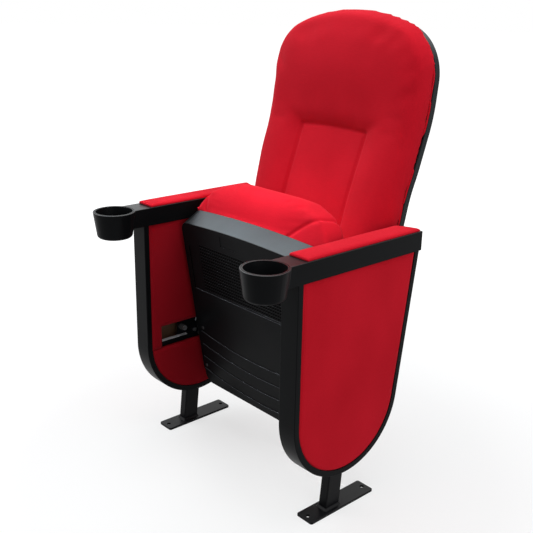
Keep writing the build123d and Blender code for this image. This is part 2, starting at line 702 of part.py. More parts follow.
def seat_shell():
    """Moulded tray under the seat, with a flared front lip and a stepped underside."""
    shell = shell_block(0, SHELL_UNDER_H, SHELL_RIM_H)
    shell = fillet(shell.faces().sort_by(Axis.Z)[0].edges(), radius=SHELL_WALL * 0.8)
    for top, bow, drop in underside_steps():
        shell += slab_z(step_face(0, top, bow), SHELL_UNDER_H - drop, SHELL_UNDER_H + SHELL_WALL)
    floor = SHELL_UNDER_H + SHELL_FLOOR
    shell -= shell_block(SHELL_WALL, floor, SHELL_RIM_H + SHELL_WALL)
    for top, bow, drop in underside_steps():
        shell -= slab_z(step_face(SHELL_WALL, top, bow), floor - drop, floor + SHELL_WALL)
    low = SHELL_UNDER_H - SHELL_FLOOR
    for side in (-1, 1):
        x = side * (PANEL_HALF + GROOVE_W / 2)
        rear = SHELL_REAR_F + SHELL_REAR_CORNER / 2
        slot = Pos(x, (rear + GROOVE_TOP_F) / 2) * Rectangle(GROOVE_W, GROOVE_TOP_F - rear)
        shell -= slab_z(slot, low, SHELL_UNDER_H + GROOVE_D)
    field = Pos(0, (FIELD_LOW_F + FIELD_TOP_F) / 2) * Rectangle(2 * FIELD_HALF, FIELD_TOP_F - FIELD_LOW_F)
    shell -= slab_z(field, low, SHELL_UNDER_H + FIELD_D)
    number = Pos(NUMBER_X, NUMBER_F) * Rectangle(NUMBER_W, NUMBER_H)
    shell -= slab_z(number, low, SHELL_UNDER_H + NUMBER_D)
    for x, f in shell_screw_places():
        shell += rod_z(SHELL_BOSS_R, floor - PANEL_STEP, RAIL_LOW_H, x, f)
        shell -= rod_z(SHELL_SCREW_D / 2 + BOLT_FIT, -RAIL * 3, RAIL_LOW_H + 1, x, f)
    for side in (-1, 1):
        for f in HINGE_BOLTS_F:
            shell -= rod_x(HINGE_BOSS_R + FIT, side * PANEL_HALF, side * HALF, f, HINGE_BOLT_H)
    return shell


def shell_screw_places():
    return [(side * SHELL_SCREW_X, f) for side in (-1, 1) for f in SHELL_SCREWS_F]


def screw_drop(f):
    """How far the underside stands below the tray's floor where a screw is."""
    drops = [0.0]
    for top, bow, drop in underside_steps():
        rise = 0.0 if bow is None else bow - (bow ** 2 - SHELL_SCREW_X ** 2) ** 0.5
        if f < top + rise:
            drops.append(drop)
    return max(drops)


def shell_screws():
    screws = []
    for x, f in shell_screw_places():
        low = SHELL_UNDER_H - screw_drop(f)
        screw = rod_z(SHELL_SCREW_D / 2, low, RAIL_LOW_H + RAIL_WALL, x, f)
        head = rod_z(SHELL_SCREW_D, low - SHELL_SCREW_D * 0.4, low, x, f)
        screws.append(screw + fillet(head.faces().sort_by(Axis.Z)[0].edges(), radius=SHELL_SCREW_D * 0.3))
    return Compound(children=screws)


def seat_frame():
    """Welded ring of square tube that carries the seat board."""
    low, high = RAIL_LOW_H, RAIL_LOW_H + RAIL
    half = RAIL_X + RAIL / 2
    ring = block(-half, half, RAIL_REAR_F, RAIL_FRONT_F, low, high)
    ring -= block(RAIL - half, half - RAIL, RAIL_REAR_F + RAIL, RAIL_FRONT_F - RAIL, low - 1, high + 1)
    w = RAIL_WALL
    bore = block(w - half, half - w, RAIL_REAR_F + w, RAIL_FRONT_F - w, low + w, high - w)
    core = RAIL - w
    bore -= block(core - half, half - core, RAIL_REAR_F + core, RAIL_FRONT_F - core, low, high)
    ring -= bore
    for x, f in shell_screw_places():
        ring -= rod_z(SHELL_SCREW_D / 2, low - 1, low + RAIL_WALL, x, f)
    for side in (-1, 1):
        wall = side * half
        for f in HINGE_BOLTS_F:
            ring -= rod_x(HINGE_BOLT_D / 2 + BOLT_FIT, wall - side * RAIL_WALL, wall + side, f, HINGE_BOLT_H)
    return ring


def seat_board_face(inset=0):
    side = SIDE_FLARE - SHELL_WALL - SEAT_BOARD_GAP - inset
    return shell_face(SHELL_HALF_REAR + side, SHELL_HALF_FRONT + side, SHELL_REAR_F - side,
                      SHELL_FRONT_F + LIP_FLARE + side - SIDE_FLARE)


def seat_board():
    return slab_z(seat_board_face(), BOARD_LOW_H, BOARD_LOW_H + SEAT_BOARD_T)


def cushion_plan(inset):
    half = SHELL_HALF_FRONT + SIDE_FLARE - inset
    front = NOSE_F - inset
    sag = NOSE_SAG * (half / (SHELL_HALF_FRONT + SIDE_FLARE)) ** 2
    rear = SHELL_REAR_F + inset
    rear_half = SHELL_HALF_REAR + SIDE_FLARE - inset
    face = make_face([
        Line((-rear_half, rear), (rear_half, rear)),
        Line((rear_half, rear), (half, front - sag)),
        ThreePointArc((half, front - sag), (0, front), (-half, front - sag)),
        Line((-half, front - sag), (-rear_half, rear)),
    ])
    front_corners = face.vertices().sort_by(Axis.Y)[-2:]
    face = fillet(front_corners, radius=CUSHION_CORNER - inset)
    rear_corners = face.vertices().sort_by(Axis.Y)[:2]
    return fillet(rear_corners, radius=SHELL_REAR_CORNER - inset)


def cushion_profile(inset):
    """Side view (f, h) of the seat cushion: level base, nose over the lip, crowned top."""
    low = CUSHION_LOW_H
    lip = SHELL_FRONT_F + LIP_FLARE - SHELL_WALL - inset
    rear = SHELL_REAR_F - 1 + inset
    top = CUSHION_TOP_H - inset
    nose = NOSE_F - inset
    face = make_face(Polyline(
        (rear, low), (lip, low), (nose, NOSE_LOW_H), (nose - NOSE_LEAN, top),
        (SHELL_FRONT_F - NOSE_TOP_ROUND, top), (rear, CUSHION_REAR_H - inset), close=True))
    face = fillet(face.vertices().sort_by(Axis.X)[-1], radius=NOSE_LOW_ROUND - inset)
    nose_top = [v for v in face.vertices() if abs(v.X - nose + NOSE_LEAN) < 0.01 and v.Y > top - 0.01]
    face = fillet(nose_top, radius=NOSE_TOP_ROUND - inset)
    top_rear = [v for v in face.vertices() if v.X < rear + 1 and v.Y > low + 1]
    return fillet(top_rear, radius=CUSHION_REAR_ROUND - inset)


def cushion_section(inset):
    """View (across, h) of the seat cushion from its nose: upright sides and a crowned, rounded top."""
    half = SHELL_HALF_FRONT + SIDE_FLARE - inset
    top = CUSHION_TOP_H - inset
    side_top = top - CUSHION_CROWN
    face = make_face([
        Polyline((-half, side_top), (-half, CUSHION_LOW_H), (half, CUSHION_LOW_H), (half, side_top)),
        ThreePointArc((half, side_top), (0, top), (-half, side_top)),
    ])
    return fillet(face.vertices().sort_by(Axis.Y)[-2:], radius=CUSHION_ROUND - inset)


def cushion_body(inset):
    """The upholstered seat cushion, moved in by the cover's thickness when inset."""
    body = slab_x(cushion_profile(inset), -HALF, HALF)
    body &= slab_z(cushion_plan(inset), CUSHION_LOW_H, CUSHION_TOP_H)
    return body & slab_y(cushion_section(inset), SHELL_REAR_F, NOSE_F)


def hinge_plate():
    """Lever plate on the seat's left side; its lower edge meets both stops. A hub carries the bush."""
    low, high = HINGE_X - HINGE_T / 2, HINGE_X + HINGE_T / 2
    arm = Pos((HINGE_REAR_F + HINGE_FRONT_F) / 2, HINGE_TOP_H / 2) * Rectangle(
        HINGE_FRONT_F - HINGE_REAR_F, HINGE_TOP_H)
    arm = fillet(arm.vertices(), radius=HINGE_T)
    plate = slab_x(arm + Circle(HINGE_HUB_R), low, high)
    plate += rod_x(HUB_R, high, high + HUB_L, 0, 0)
    for f in HINGE_BOLTS_F:
        plate += rod_x(HINGE_BOSS_R, RAIL_X + RAIL / 2, low, f, HINGE_BOLT_H)
        plate -= rod_x(HINGE_BOLT_D / 2 + BOLT_FIT, 0, HALF, f, HINGE_BOLT_H)
    plate -= rod_x(BUSH_R, 0, HALF, 0, 0)
    hook_f, hook_h = -SPRING_R * -sin(TILT), -SPRING_R * cos(TILT)
    return plate - rod_x(SPRING_WIRE_R + TOUCH, 0, HALF, hook_f, hook_h)


def pivot_bush():
    """Flanged nylon bush in the hub."""
    low = HINGE_X - HINGE_T / 2
    bush = rod_x(BUSH_R, low, HINGE_X + HINGE_T / 2 + HUB_L, 0, 0)
    bush += rod_x(BUSH_R + BUSH_WALL, low - BUSH_FLANGE, low, 0, 0)
    return bush - rod_x(PIN_R + RUNNING_FIT, 0, HALF, 0, 0)


def hinge_bolts():
    bolts = []
    face = HINGE_X + HINGE_T / 2
    for f in HINGE_BOLTS_F:
        bolt = rod_x(HINGE_BOLT_D / 2, RAIL_X + RAIL / 2 - RAIL_WALL, face, f, HINGE_BOLT_H)
        head = rod_x(HINGE_BOLT_D, face, face + HINGE_BOLT_HEAD_T, f, HINGE_BOLT_H)
        bolts.append(bolt + fillet(head.faces().sort_by(Axis.X)[-1].edges(), radius=HINGE_BOLT_HEAD_T / 3))
    return bolts


# ---- back ----
def back_face(inset, drop):
    """Front view (X, Z) of the back: narrow foot, wide shoulders, arched top moved down by the drop."""
    rise = BACK_TOP_R - (BACK_TOP_R ** 2 - BACK_HALF_TOP ** 2) ** 0.5
    top = BACK_TOP_Z - inset - drop
    low = BACK_LOW_Z + inset
    foot = BACK_HALF_LOW - inset
    mid = BACK_HALF_MID - inset
    wide = BACK_HALF_TOP - inset
    face = make_face([
        Polyline((-wide, top - rise), (-mid, BACK_MID_Z), (-foot, low), (foot, low),
                 (mid, BACK_MID_Z), (wide, top - rise)),
        ThreePointArc((wide, top - rise), (0, top), (-wide, top - rise)),
    ])
    shoulders = face.vertices().sort_by(Axis.Y)[-2:]
    face = fillet(shoulders, radius=BACK_SHOULDER_R - inset)
    feet = face.vertices().sort_by(Axis.Y)[:2]
    face = fillet(feet, radius=BACK_LOW_CORNER - inset)
    bends = [v for v in face.vertices() if abs(v.Y - BACK_MID_Z) < 1]
    return fillet(bends, radius=BACK_TOP_R)


def bent_line(points, bends, shift):
    """A side-view line with rounded bends, moved along Y and run past both ends."""
    (y0, z0), (y1, z1) = points[0], points[1]
    (y2, z2), (y3, z3) = points[-2], points[-1]
    run = BACK_SHELL_DEPTH
    start = (y0 + (y0 - y1) * run / (z1 - z0) + shift, z0 - run)
    end = (y3 + (y3 - y2) * run / (z3 - z2) + shift, z3 + run)
    inner = [(y + shift, z) for y, z in points[1:-1]]
    return FilletPolyline(start, *inner, end, radius=list(bends))


def band_between(front, rear, x_half):
    """The slab between two side-view lines, across the back."""
    f0, f1 = front @ 0, front @ 1
    r0, r1 = rear @ 0, rear @ 1
    edges = front.edges() + rear.edges() + [Line(f0, r0).edge(), Line(f1, r1).edge()]
    return slab_x(make_face(edges), -x_half, x_half)


def rear_line(shift):
    return bent_line(REAR_LINE, REAR_BENDS, shift)


def front_line(shift):
    return bent_line(FRONT_LINE, FRONT_BENDS, shift)


def back_prism(inset, drop=0):
    return slab_y(back_face(inset, drop), 0, 2 * STANDARD_R + BACK_SHELL_DEPTH)


def back_shell():
    """Moulded tray behind the back, with rounded rear edges and slots for the wings."""
    shell = band_between(rear_line(-BACK_SHELL_DEPTH), rear_line(0), HALF) & back_prism(0, BACK_SHELL_DROP)
    shell = rounded(shell, rim_edges(shell, 1), BACK_SHELL_ROUND)
    hollow = band_between(rear_line(-2 * BACK_SHELL_DEPTH), rear_line(-BACK_SHELL_WALL), HALF)
    shell -= hollow & back_prism(BACK_SHELL_WALL, BACK_SHELL_DROP)
    for x, z in back_screw_places():
        place = rear_place(z)
        depth = BACK_SHELL_DEPTH * cos(rear_lean(z))
        shell += place * rod_y(BACK_BOSS_R, FIT - depth, -BACK_SHELL_WALL / 2, x, 0)
        shell -= place * rod_y(BACK_SCREW_D / 2 + BOLT_FIT, -depth, BACK_SHELL_WALL, x, 0)
    return shell - wing_slots()


def rod_y(radius, y0, y1, x, z):
    return Pos(x, (y0 + y1) / 2, z) * Rot(90, 0, 0) * Cylinder(radius, y1 - y0)


def rear_run(z):
    """The straight run of the shell's rear line that holds a height."""
    runs = [run for run in zip(REAR_LINE, REAR_LINE[1:]) if run[0][1] <= z]
    return runs[-1]


def rear_y(z):
    (y0, z0), (y1, z1) = rear_run(z)
    return y0 + (y1 - y0) * (z - z0) / (z1 - z0)


def rear_lean(z):
    (y0, z0), (y1, z1) = rear_run(z)
    return atan2(y1 - y0, z1 - z0)


def rear_place(z, shift=0):
    """Frame on the rear line, or forward of it by a negative shift: Z along the back, Y to the rear."""
    return Location((0, rear_y(z) + shift, z), (-degrees(rear_lean(z)), 0, 0))


def back_screw_places():
    return [(side * (INSIDE - x), z) for x, z in zip(BACK_SCREWS_IN, BACK_SCREWS_Z) for side in (-1, 1)]


def back_screws():
    screws = []
    for x, z in back_screw_places():
        depth = BACK_SHELL_DEPTH * cos(rear_lean(z))
        screw = rod_y(BACK_SCREW_D / 2, -depth - BACK_SCREW_L, 0, x, 0)
        screw += rod_y(BACK_SCREW_D, 0, BACK_SCREW_D * 0.5, x, 0)
        screws.append(rear_place(z) * screw)
    return Compound(children=screws)


def back_board():
    rear = rear_line(-BACK_SHELL_DEPTH)
    board = band_between(rear_line(-BACK_SHELL_DEPTH - BACK_BOARD_T), rear, HALF)
    board &= back_prism(BACK_BOARD_INSET)
    for x, z in back_screw_places():
        depth = BACK_SHELL_DEPTH * cos(rear_lean(z))
        board -= rear_place(z) * rod_y(BACK_SCREW_D / 2, -depth - BACK_SCREW_L, 0, x, 0)
    for x, z in wing_board_bolts():
        hole = rod_y(WING_BOLT_D / 2, -2 * BACK_BOARD_T, BACK_BOARD_T, x, z)
        board -= wing_place() * hole
        board -= wing_place() * mirror(hole, about=Plane.YZ)
    return board


def back_body(inset):
    """The upholstered cushion of the back, moved in by the cover's thickness when inset."""
    body = band_between(front_line(inset), rear_line(-BACK_SHELL_DEPTH), HALF)
    body &= back_prism(BACK_CUSHION_INSET + inset)
    body -= band_between(rear_line(-BACK_SHELL_DEPTH - TOUCH), rear_line(BACK_SHELL_DEPTH), HALF)
    return rounded(body, rim_edges(body, -1), BACK_CUSHION_ROUND - inset)


def rim_edges(body, way):
    """The outline of the back's front face, where way is -1, or of its rear face, where it is 1."""
    faces = [f for f in body.faces() if way * f.normal_at().Y > 0.7]
    shared = {}
    for face in faces:
        for edge in face.edges():
            key = tuple(round(c, 2) for c in edge.center())
            shared.setdefault(key, []).append(edge)
    return [found[0] for found in shared.values() if len(found) == 1]


# ---- wings: brackets from the standards to the back board ----
def wing_place():
    """Frame on the board's rear face at the wings' height."""
    return rear_place(WING_Z, -BACK_SHELL_DEPTH)


def wing_shape(grow):
    """L section in plan, for the left side: a flange behind the board and a leg along the standard."""
    outer = INSIDE - TOUCH
    high = WING_H + 2 * grow
    flange = block(outer - WING_IN, outer, TOUCH - grow, TOUCH + WING_T + grow, -high / 2, high / 2)
    leg = block(outer - WING_T, outer, TOUCH + WING_T - WING_FORWARD, TOUCH + WING_T, -high / 2, high / 2)
    return flange, leg


def wing_bolt_places():
    """(Y, Z) of the bolts through the leg into the standard."""
    middle = -WING_FORWARD / 2
    points = [(wing_place() * Pos(0, middle, s * WING_BOLT_PITCH / 2)).position for s in (-1, 1)]
    return [(p.Y, p.Z) for p in points]


def wing_board_bolts():
    """(X, height) in the wing's frame of the bolts through the left flange into the back board."""
    x = INSIDE - TOUCH - WING_IN + WING_BOLT_D * 1.5
    return [(x, s * WING_BOLT_PITCH / 2) for s in (-1, 1)]


def back_wing():
    flange, leg = wing_shape(0)
    wing = flange + leg
    for x, z in wing_board_bolts():
        wing -= rod_y(WING_BOLT_D / 2 + BOLT_FIT, -WING_T, 2 * WING_T, x, z)
    wing = wing_place() * wing
    for y, z in wing_bolt_places():
        wing -= rod_x(WING_BOLT_D / 2 + BOLT_FIT, 0, HALF, y, z)
    return wing


def wing_slots():
    flange, _ = wing_shape(WING_FIT)
    slot = wing_place() * flange
    return slot + mirror(slot, about=Plane.YZ)


def wing_bolts():
    """Bolts of both wings: two into each standard and two into the board on each side."""
    outer = INSIDE - TOUCH
    bolts = []
    for y, z in wing_bolt_places():
        bolt = rod_x(WING_BOLT_D / 2, outer - WING_T, HALF + SIDE, y, z)
        bolt += rod_x(WING_BOLT_D * 0.8, outer - WING_T - WING_BOLT_D * 0.5, outer - WING_T, y, z)
        bolts += list(pair(bolt))
    rear = TOUCH + WING_T
    for x, z in wing_board_bolts():
        bolt = rod_y(WING_BOLT_D / 2, -BACK_BOARD_T * 0.85, rear, x, z)
        bolt += rod_y(WING_BOLT_D * 0.8, rear, rear + WING_BOLT_D * 0.5, x, z)
        bolts += list(pair(wing_place() * bolt))
    return Compound(children=bolts)


# ---- all nodes ----
def both_sides(nodes, name, part):
    nodes["left_" + name], nodes["right_" + name] = both(part)


def grouped(part):
    """Like pieces of both standards as one group."""
    left, right = both(part)
    return Compound(children=list(left.solids()) + list(right.solids()))


def standard_nodes(nodes):
    both_sides(nodes, "floor_plate", floor_plate())
    both_sides(nodes, "post", post())
    both_sides(nodes, "edge_band", edge_band())
    panels = (("outer", outer_panel_face, 1),
              ("inner_upper", upper_panel_face, -1),
              ("inner_lower", lower_panel_face, -1))
    for name, face_of, side in panels:
        board, wrap = panel(face_of, side)
        both_sides(nodes, name + "_board", board)
        both_sides(nodes, name + "_cover", wrap)
    both_sides(nodes, "seat_bracket", seat_bracket())
    both_sides(nodes, "pivot_pin", pivot_pin())
    coil, ends = return_spring()
    both_sides(nodes, "return_spring", coil + ends)
    both_sides(nodes, "arm_plate", arm_plate())
    both_sides(nodes, "armrest", armrest())
    core = pad_body(FABRIC_T)
    both_sides(nodes, "arm_pad", core)
    both_sides(nodes, "arm_pad_cover", pad_body(0) - core)
    nodes["spacer_blocks"] = grouped(spacer_blocks())
    nodes["panel_screws"] = grouped(panel_screws())
    nodes["stop_bolts"] = grouped(stop_bolts())
    nodes["stop_sleeves"] = grouped(stop_sleeves())
    nodes["bracket_bolts"] = grouped(bracket_bolts())
    nodes["arm_screws"] = grouped(arm_screws())
    nodes["pin_clips"] = grouped(pin_clip())


def seat_nodes(nodes):
    nodes["seat_shell"] = in_seat(seat_shell())
    nodes["shell_screws"] = in_seat(shell_screws())
    nodes["seat_frame"] = in_seat(seat_frame())
    nodes["seat_board"] = in_seat(seat_board())
    core = cushion_body(FABRIC_T)
    nodes["seat_foam"] = in_seat(core - seat_board())
    nodes["seat_cover"] = in_seat(cushion_body(0) - core)
    nodes["right_hinge_plate"], nodes["left_hinge_plate"] = pair(in_seat(hinge_plate()))
    nodes["right_pivot_bush"], nodes["left_pivot_bush"] = pair(in_seat(pivot_bush()))
    bolts = [in_seat(bolt) for bolt in hinge_bolts()]
    nodes["hinge_bolts"] = Compound(children=[one for bolt in bolts for one in pair(bolt)])


def back_nodes(nodes):
    nodes["back_shell"] = back_shell()
    nodes["back_screws"] = back_screws()
    board = back_board()
    nodes["back_board"] = board
    core = back_body(FABRIC_T)
    solid_board = band_between(rear_line(-BACK_SHELL_DEPTH - BACK_BOARD_T), rear_line(0), HALF)
    nodes["back_foam"] = core - (solid_board & back_prism(BACK_BOARD_INSET))
    nodes["back_cover"] = back_body(0) - core
    nodes["left_back_wing"], nodes["right_back_wing"] = pair(back_wing())
    nodes["wing_bolts"] = wing_bolts()


all_nodes = {}
standard_nodes(all_nodes)
seat_nodes(all_nodes)
back_nodes(all_nodes)
for node_name, shape in all_nodes.items():
    export_step(shape, f"parts/{node_name}.step")
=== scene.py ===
"""Tip-up auditorium seat: cushions, upholstered panels, tray, vents and finishes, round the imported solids."""

import json

from math import atan2, cos, exp, radians, sin, tanh

import bmesh
import bpy
from bpy.props import FloatProperty, FloatVectorProperty, IntProperty, PointerProperty
from mathutils import Matrix, Vector, noise
from mathutils.kdtree import KDTree


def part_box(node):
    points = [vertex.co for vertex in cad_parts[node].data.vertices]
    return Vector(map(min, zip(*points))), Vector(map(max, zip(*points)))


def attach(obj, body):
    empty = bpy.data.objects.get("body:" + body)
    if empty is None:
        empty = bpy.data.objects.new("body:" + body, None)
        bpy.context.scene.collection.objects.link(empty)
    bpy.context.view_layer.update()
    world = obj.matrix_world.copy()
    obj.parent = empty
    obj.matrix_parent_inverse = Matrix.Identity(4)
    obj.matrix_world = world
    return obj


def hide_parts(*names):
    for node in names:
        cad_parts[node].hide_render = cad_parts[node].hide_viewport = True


bl_info = {
    "name": "Tip-up auditorium seat",
    "version": (1, 0, 0),
    "blender": (4, 5, 0),
    "location": "3D View > Sidebar > Seat",
    "description": "Upholstery, vents, seams and finishes of a tip-up auditorium seat",
    "category": "Add Mesh",
}

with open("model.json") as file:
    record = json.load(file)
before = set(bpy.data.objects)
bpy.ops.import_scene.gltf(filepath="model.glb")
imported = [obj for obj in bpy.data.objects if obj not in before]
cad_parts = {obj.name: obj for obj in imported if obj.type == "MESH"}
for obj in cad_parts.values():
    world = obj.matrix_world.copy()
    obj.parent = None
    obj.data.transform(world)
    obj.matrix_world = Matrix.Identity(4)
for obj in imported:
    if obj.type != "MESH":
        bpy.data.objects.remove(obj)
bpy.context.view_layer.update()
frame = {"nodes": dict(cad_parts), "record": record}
SEAT_LIFT = radians(9)          # how far past upright the folded seat leans
PIVOT = Vector((0, 0.009, 0.305))

# the bracket's strap, whose top carries a painted highlight: a band in zinc's colour
STRAP_TOP_Z = 0.2756
STRAP_HIGHLIGHT_BAND = 0.0009         # how far above and below that height the painted highlight reaches
STRAP_REAR_Y = -0.0405

# the seat tray and its vents, in the folded seat's own directions
STEPS_END_F = 0.2               # the tray's stepped arcs and its ledge end below this
VENT_BAND_F = (0.1265, 0.2565)  # where the vent field starts and ends
VENT_PLATE = (0.3554, 0.1294)   # the field with its plain ring, across and up
TRAY_UNDER_H = -0.0285          # the tray's underside
VENT_SKIN = 0.0013              # how deep the holes are

# how much two finishes are painted darker or lighter than the colours that a user sets: painted shade and a
# painted highlight
INNER_SHADE = 0.52              # plush of the inner panels, darkened as painted shade for the shade between the standards
EDGE_PAINTED_HIGHLIGHT = 14                 # painted highlight: the black tray's colour this many times lighter on the rounded edges of its steps

CLOTH_FRAMES = 20               # frames that a cover is blown up for
FACE_FIT = 1e-5                 # points this close to a cover's face lie on it
OFF_FACE = 1e-4                 # points further than this have left it

# lamps: name, place, target, size in metres, power in watts, colour
LAMPS = (
    ("key", (-2.2, -0.9, 2.8), (0, 0, 0.6), 2.3, 51, (0.97, 0.985, 1.0)),
    ("front", (0.9, -3.0, 2.0), (0, 0, 0.6), 2.0, 3, (1.0, 0.985, 0.97)),
    ("side", (3.0, -0.2, 1.5), (0, 0, 0.5), 2.2, 29, (1.0, 0.99, 0.98)),
    ("top", (0.2, 0.25, 3.6), (0, 0.1, 0.7), 2.6, 64, (0.96, 0.98, 1.0)),
    ("softbox", (-1.42, 0.02, 2.05), (0, -0.05, 0.62), 0.9, 4.2, (0.42, 0.78, 1.0)),
    ("focus", (-0.35, -0.75, 1.75), (0, -0.05, 0.62), 0.3, 0.30, (1.0, 1.0, 1.0)),
)
FOCUS_SPREAD = 20               # degrees

# the camera, solved from the photo
CAMERA_PLACE = (1.409941, -1.249721, 1.15687)
CAMERA_TURN = (0.839429, 0.3228, 0.016802)      # yaw, pitch and roll in radians
SENSOR_WIDTH = 36.0                             # millimetres
FOCAL_SHARE = 812.74 / 533                      # focal length as a share of the picture's width


# ---- sizes and colours that a user would change ----
class SeatSizes(bpy.types.PropertyGroup):
    """Sizes of the upholstery and of the vents."""

    cushion_voxel: FloatProperty(
        name="Cushion mesh size", description="Point spacing of the simulated cushions",
        default=0.0065, min=0.004, max=0.012, unit="LENGTH")
    pad_voxel: FloatProperty(
        name="Arm pad mesh size", description="Point spacing of the simulated arm pads",
        default=0.004, min=0.003, max=0.008, unit="LENGTH")
    pressure: FloatProperty(
        name="Filling pressure", description="How hard the foam presses on its cover",
        default=4.0, min=0, max=12)
    cushion_swell: FloatProperty(
        name="Cushion swell", description="The most that a cushion's cover swells",
        default=0.007, min=0, max=0.03, unit="LENGTH")
    pad_swell: FloatProperty(
        name="Arm pad swell", description="The most that an arm pad's cover swells",
        default=0.0012, min=0, max=0.006, unit="LENGTH")
    seam_depth: FloatProperty(
        name="Seam depth", description="How deep a sewn seam pulls in",
        default=0.0035, min=0, max=0.01, unit="LENGTH")
    seam_width: FloatProperty(
        name="Seam width", description="Half the width of a seam's valley",
        default=0.006, min=0.002, max=0.02, unit="LENGTH")
    welt: FloatProperty(
        name="Welt radius", description="Radius of the sewn welt round the back",
        default=0.0022, min=0.001, max=0.004, unit="LENGTH")
    panel_round: FloatProperty(
        name="Panel edge", description="Rounding of an upholstered board's edge",
        default=0.004, min=0.001, max=0.008, unit="LENGTH")
    panel_crown: FloatProperty(
        name="Panel crown", description="How far the middle of a board's padding stands out",
        default=0.0016, min=0, max=0.006, unit="LENGTH")
    tray_round: FloatProperty(
        name="Tray edge", description="Rounding of the edges of the tray's steps",
        default=0.0014, min=0.0002, max=0.0018, unit="LENGTH")
    vent_pitch: FloatProperty(
        name="Vent pitch", description="Distance between the vent holes", default=0.0085, unit="LENGTH")
    vent_hole: FloatProperty(
        name="Vent hole", description="Side of a square vent hole", default=0.0052, unit="LENGTH")
    vent_columns: IntProperty(
        name="Vent columns", description="Vent holes across the seat", default=41, min=1)
    vent_rows: IntProperty(
        name="Vent rows", description="Vent holes up the seat", default=15, min=1)


class SeatColours(bpy.types.PropertyGroup):
    """Colours of the finishes, as linear values."""

    plush: FloatVectorProperty(
        name="Plush", description="Red plush of the cushions", subtype="COLOR", size=3,
        default=(0.74, 0.011, 0.028), min=0, max=1)
    plush_dark: FloatVectorProperty(
        name="Dark plush", description="Low pile between the tufts", subtype="COLOR", size=3,
        default=(0.54, 0.005, 0.015), min=0, max=1)
    black_plastic: FloatVectorProperty(
        name="Black plastic", description="Armrests, edge bands and seat tray", subtype="COLOR", size=3,
        default=(0.0046, 0.0050, 0.0056), min=0, max=1)
    grey_plastic: FloatVectorProperty(
        name="Grey plastic", description="Rear shell of the back", subtype="COLOR", size=3,
        default=(0.030, 0.034, 0.036), min=0, max=1)
    black_steel: FloatVectorProperty(
        name="Black steel", description="Powder-coated posts and plates", subtype="COLOR", size=3,
        default=(0.0040, 0.0041, 0.0048), min=0, max=1)
    zinc: FloatVectorProperty(
        name="Zinc", description="Plated bolts and pins", subtype="COLOR", size=3,
        default=(0.62, 0.62, 0.64), min=0, max=1)
    spring: FloatVectorProperty(
        name="Spring steel", description="Oiled springs and clips", subtype="COLOR", size=3,
        default=(0.24, 0.24, 0.26), min=0, max=1)
    plywood: FloatVectorProperty(
        name="Plywood", description="Boards and spacer blocks", subtype="COLOR", size=3,
        default=(0.17, 0.088, 0.045), min=0, max=1)
    nylon: FloatVectorProperty(
        name="Nylon", description="Pivot bushes", subtype="COLOR", size=3,
        default=(0.74, 0.73, 0.68), min=0, max=1)
    rubber: FloatVectorProperty(
        name="Rubber", description="Stop sleeves", subtype="COLOR", size=3,
        default=(0.006, 0.006, 0.0064), min=0, max=1)
    foam: FloatVectorProperty(
        name="Foam", description="Bare foam", subtype="COLOR", size=3,
        default=(0.80, 0.74, 0.52), min=0, max=1)


# ---- finishes ----
class Finish:
    """A material under construction: its node tree and its one shader."""

    def __init__(self, name, colour, roughness):
        self.material = bpy.data.materials.new(name)
        self.material.use_nodes = True
        self.tree = self.material.node_tree
        self.shader = self.tree.nodes["Principled BSDF"]
        self.shader.inputs["Base Color"].default_value = (*colour, 1)
        self.shader.inputs["Roughness"].default_value = roughness
        self.heights = []

    def add(self, kind, **values):
        """A node; keyword values set its properties, and names with a capital its sockets."""
        node = self.tree.nodes.new(kind)
        for key, value in values.items():
            if key[0].isupper():
                node.inputs[key.replace("_", " ")].default_value = value
            else:
                setattr(node, key, value)
        return node

    def link(self, source, output, target, socket):
        self.tree.links.new(source.outputs[output], target.inputs[socket])

    def places(self, scale, turn=(0, 0, 0)):
        """Object coordinates, scaled along each axis."""
        where = self.add("ShaderNodeTexCoord")
        mapping = self.add("ShaderNodeMapping", Scale=scale, Rotation=turn)
        self.link(where, "Object", mapping, "Vector")
        return mapping

    def noise(self, scale, detail=3.0, rough=0.5, turn=(0, 0, 0)):
        node = self.add("ShaderNodeTexNoise", Scale=1.0, Detail=detail, Roughness=rough)
        self.link(self.places(scale, turn), "Vector", node, "Vector")
        return node

    def spread(self, source, output, low, high, low_in=0.3, high_in=0.7):
        """Maps a pattern's values to a range."""
        node = self.add("ShaderNodeMapRange")
        node.inputs["From Min"].default_value = low_in
        node.inputs["From Max"].default_value = high_in
        node.inputs["To Min"].default_value = low
        node.inputs["To Max"].default_value = high
        self.link(source, output, node, "Value")
        return node

    def tint(self, source, output, first, second):
        """Mixes two colours by a pattern and gives them to the shader."""
        mix = self.add("ShaderNodeMix", data_type="RGBA")
        mix.inputs[6].default_value = (*first, 1)
        mix.inputs[7].default_value = (*second, 1)
        self.link(source, output, mix, 0)
        self.link(mix, 2, self.shader, "Base Color")

    def rough(self, source, output, low, high):
        self.link(self.spread(source, output, low, high), "Result", self.shader, "Roughness")

    def gloss(self, side, top):
        """Specular level of a moulding's sides, and of the faces that look up as the seat is stored."""
        geometry = self.add("ShaderNodeNewGeometry")
        turned = self.add("ShaderNodeVectorTransform", vector_type="NORMAL", convert_from="WORLD",
                          convert_to="OBJECT")
        parts = self.add("ShaderNodeSeparateXYZ")
        self.link(geometry, "Normal", turned, "Vector")
        self.link(turned, "Vector", parts, "Vector")
        level = self.spread(parts, "Z", side, top, 0.45, 0.8)
        self.link(level, "Result", self.shader, "Specular IOR Level")

    def relief(self, source, output, depth, strength):
        """A bump, laid over the ones before it."""
        bump = self.add("ShaderNodeBump", Strength=strength, Distance=depth)
        self.link(source, output, bump, "Height")
        if self.heights:
            self.link(self.heights[-1], "Normal", bump, "Normal")
        self.heights.append(bump)
        self.link(bump, "Normal", self.shader, "Normal")


def scaled(colour, factor):
    return tuple(min(1.0, c * factor) for c in colour)


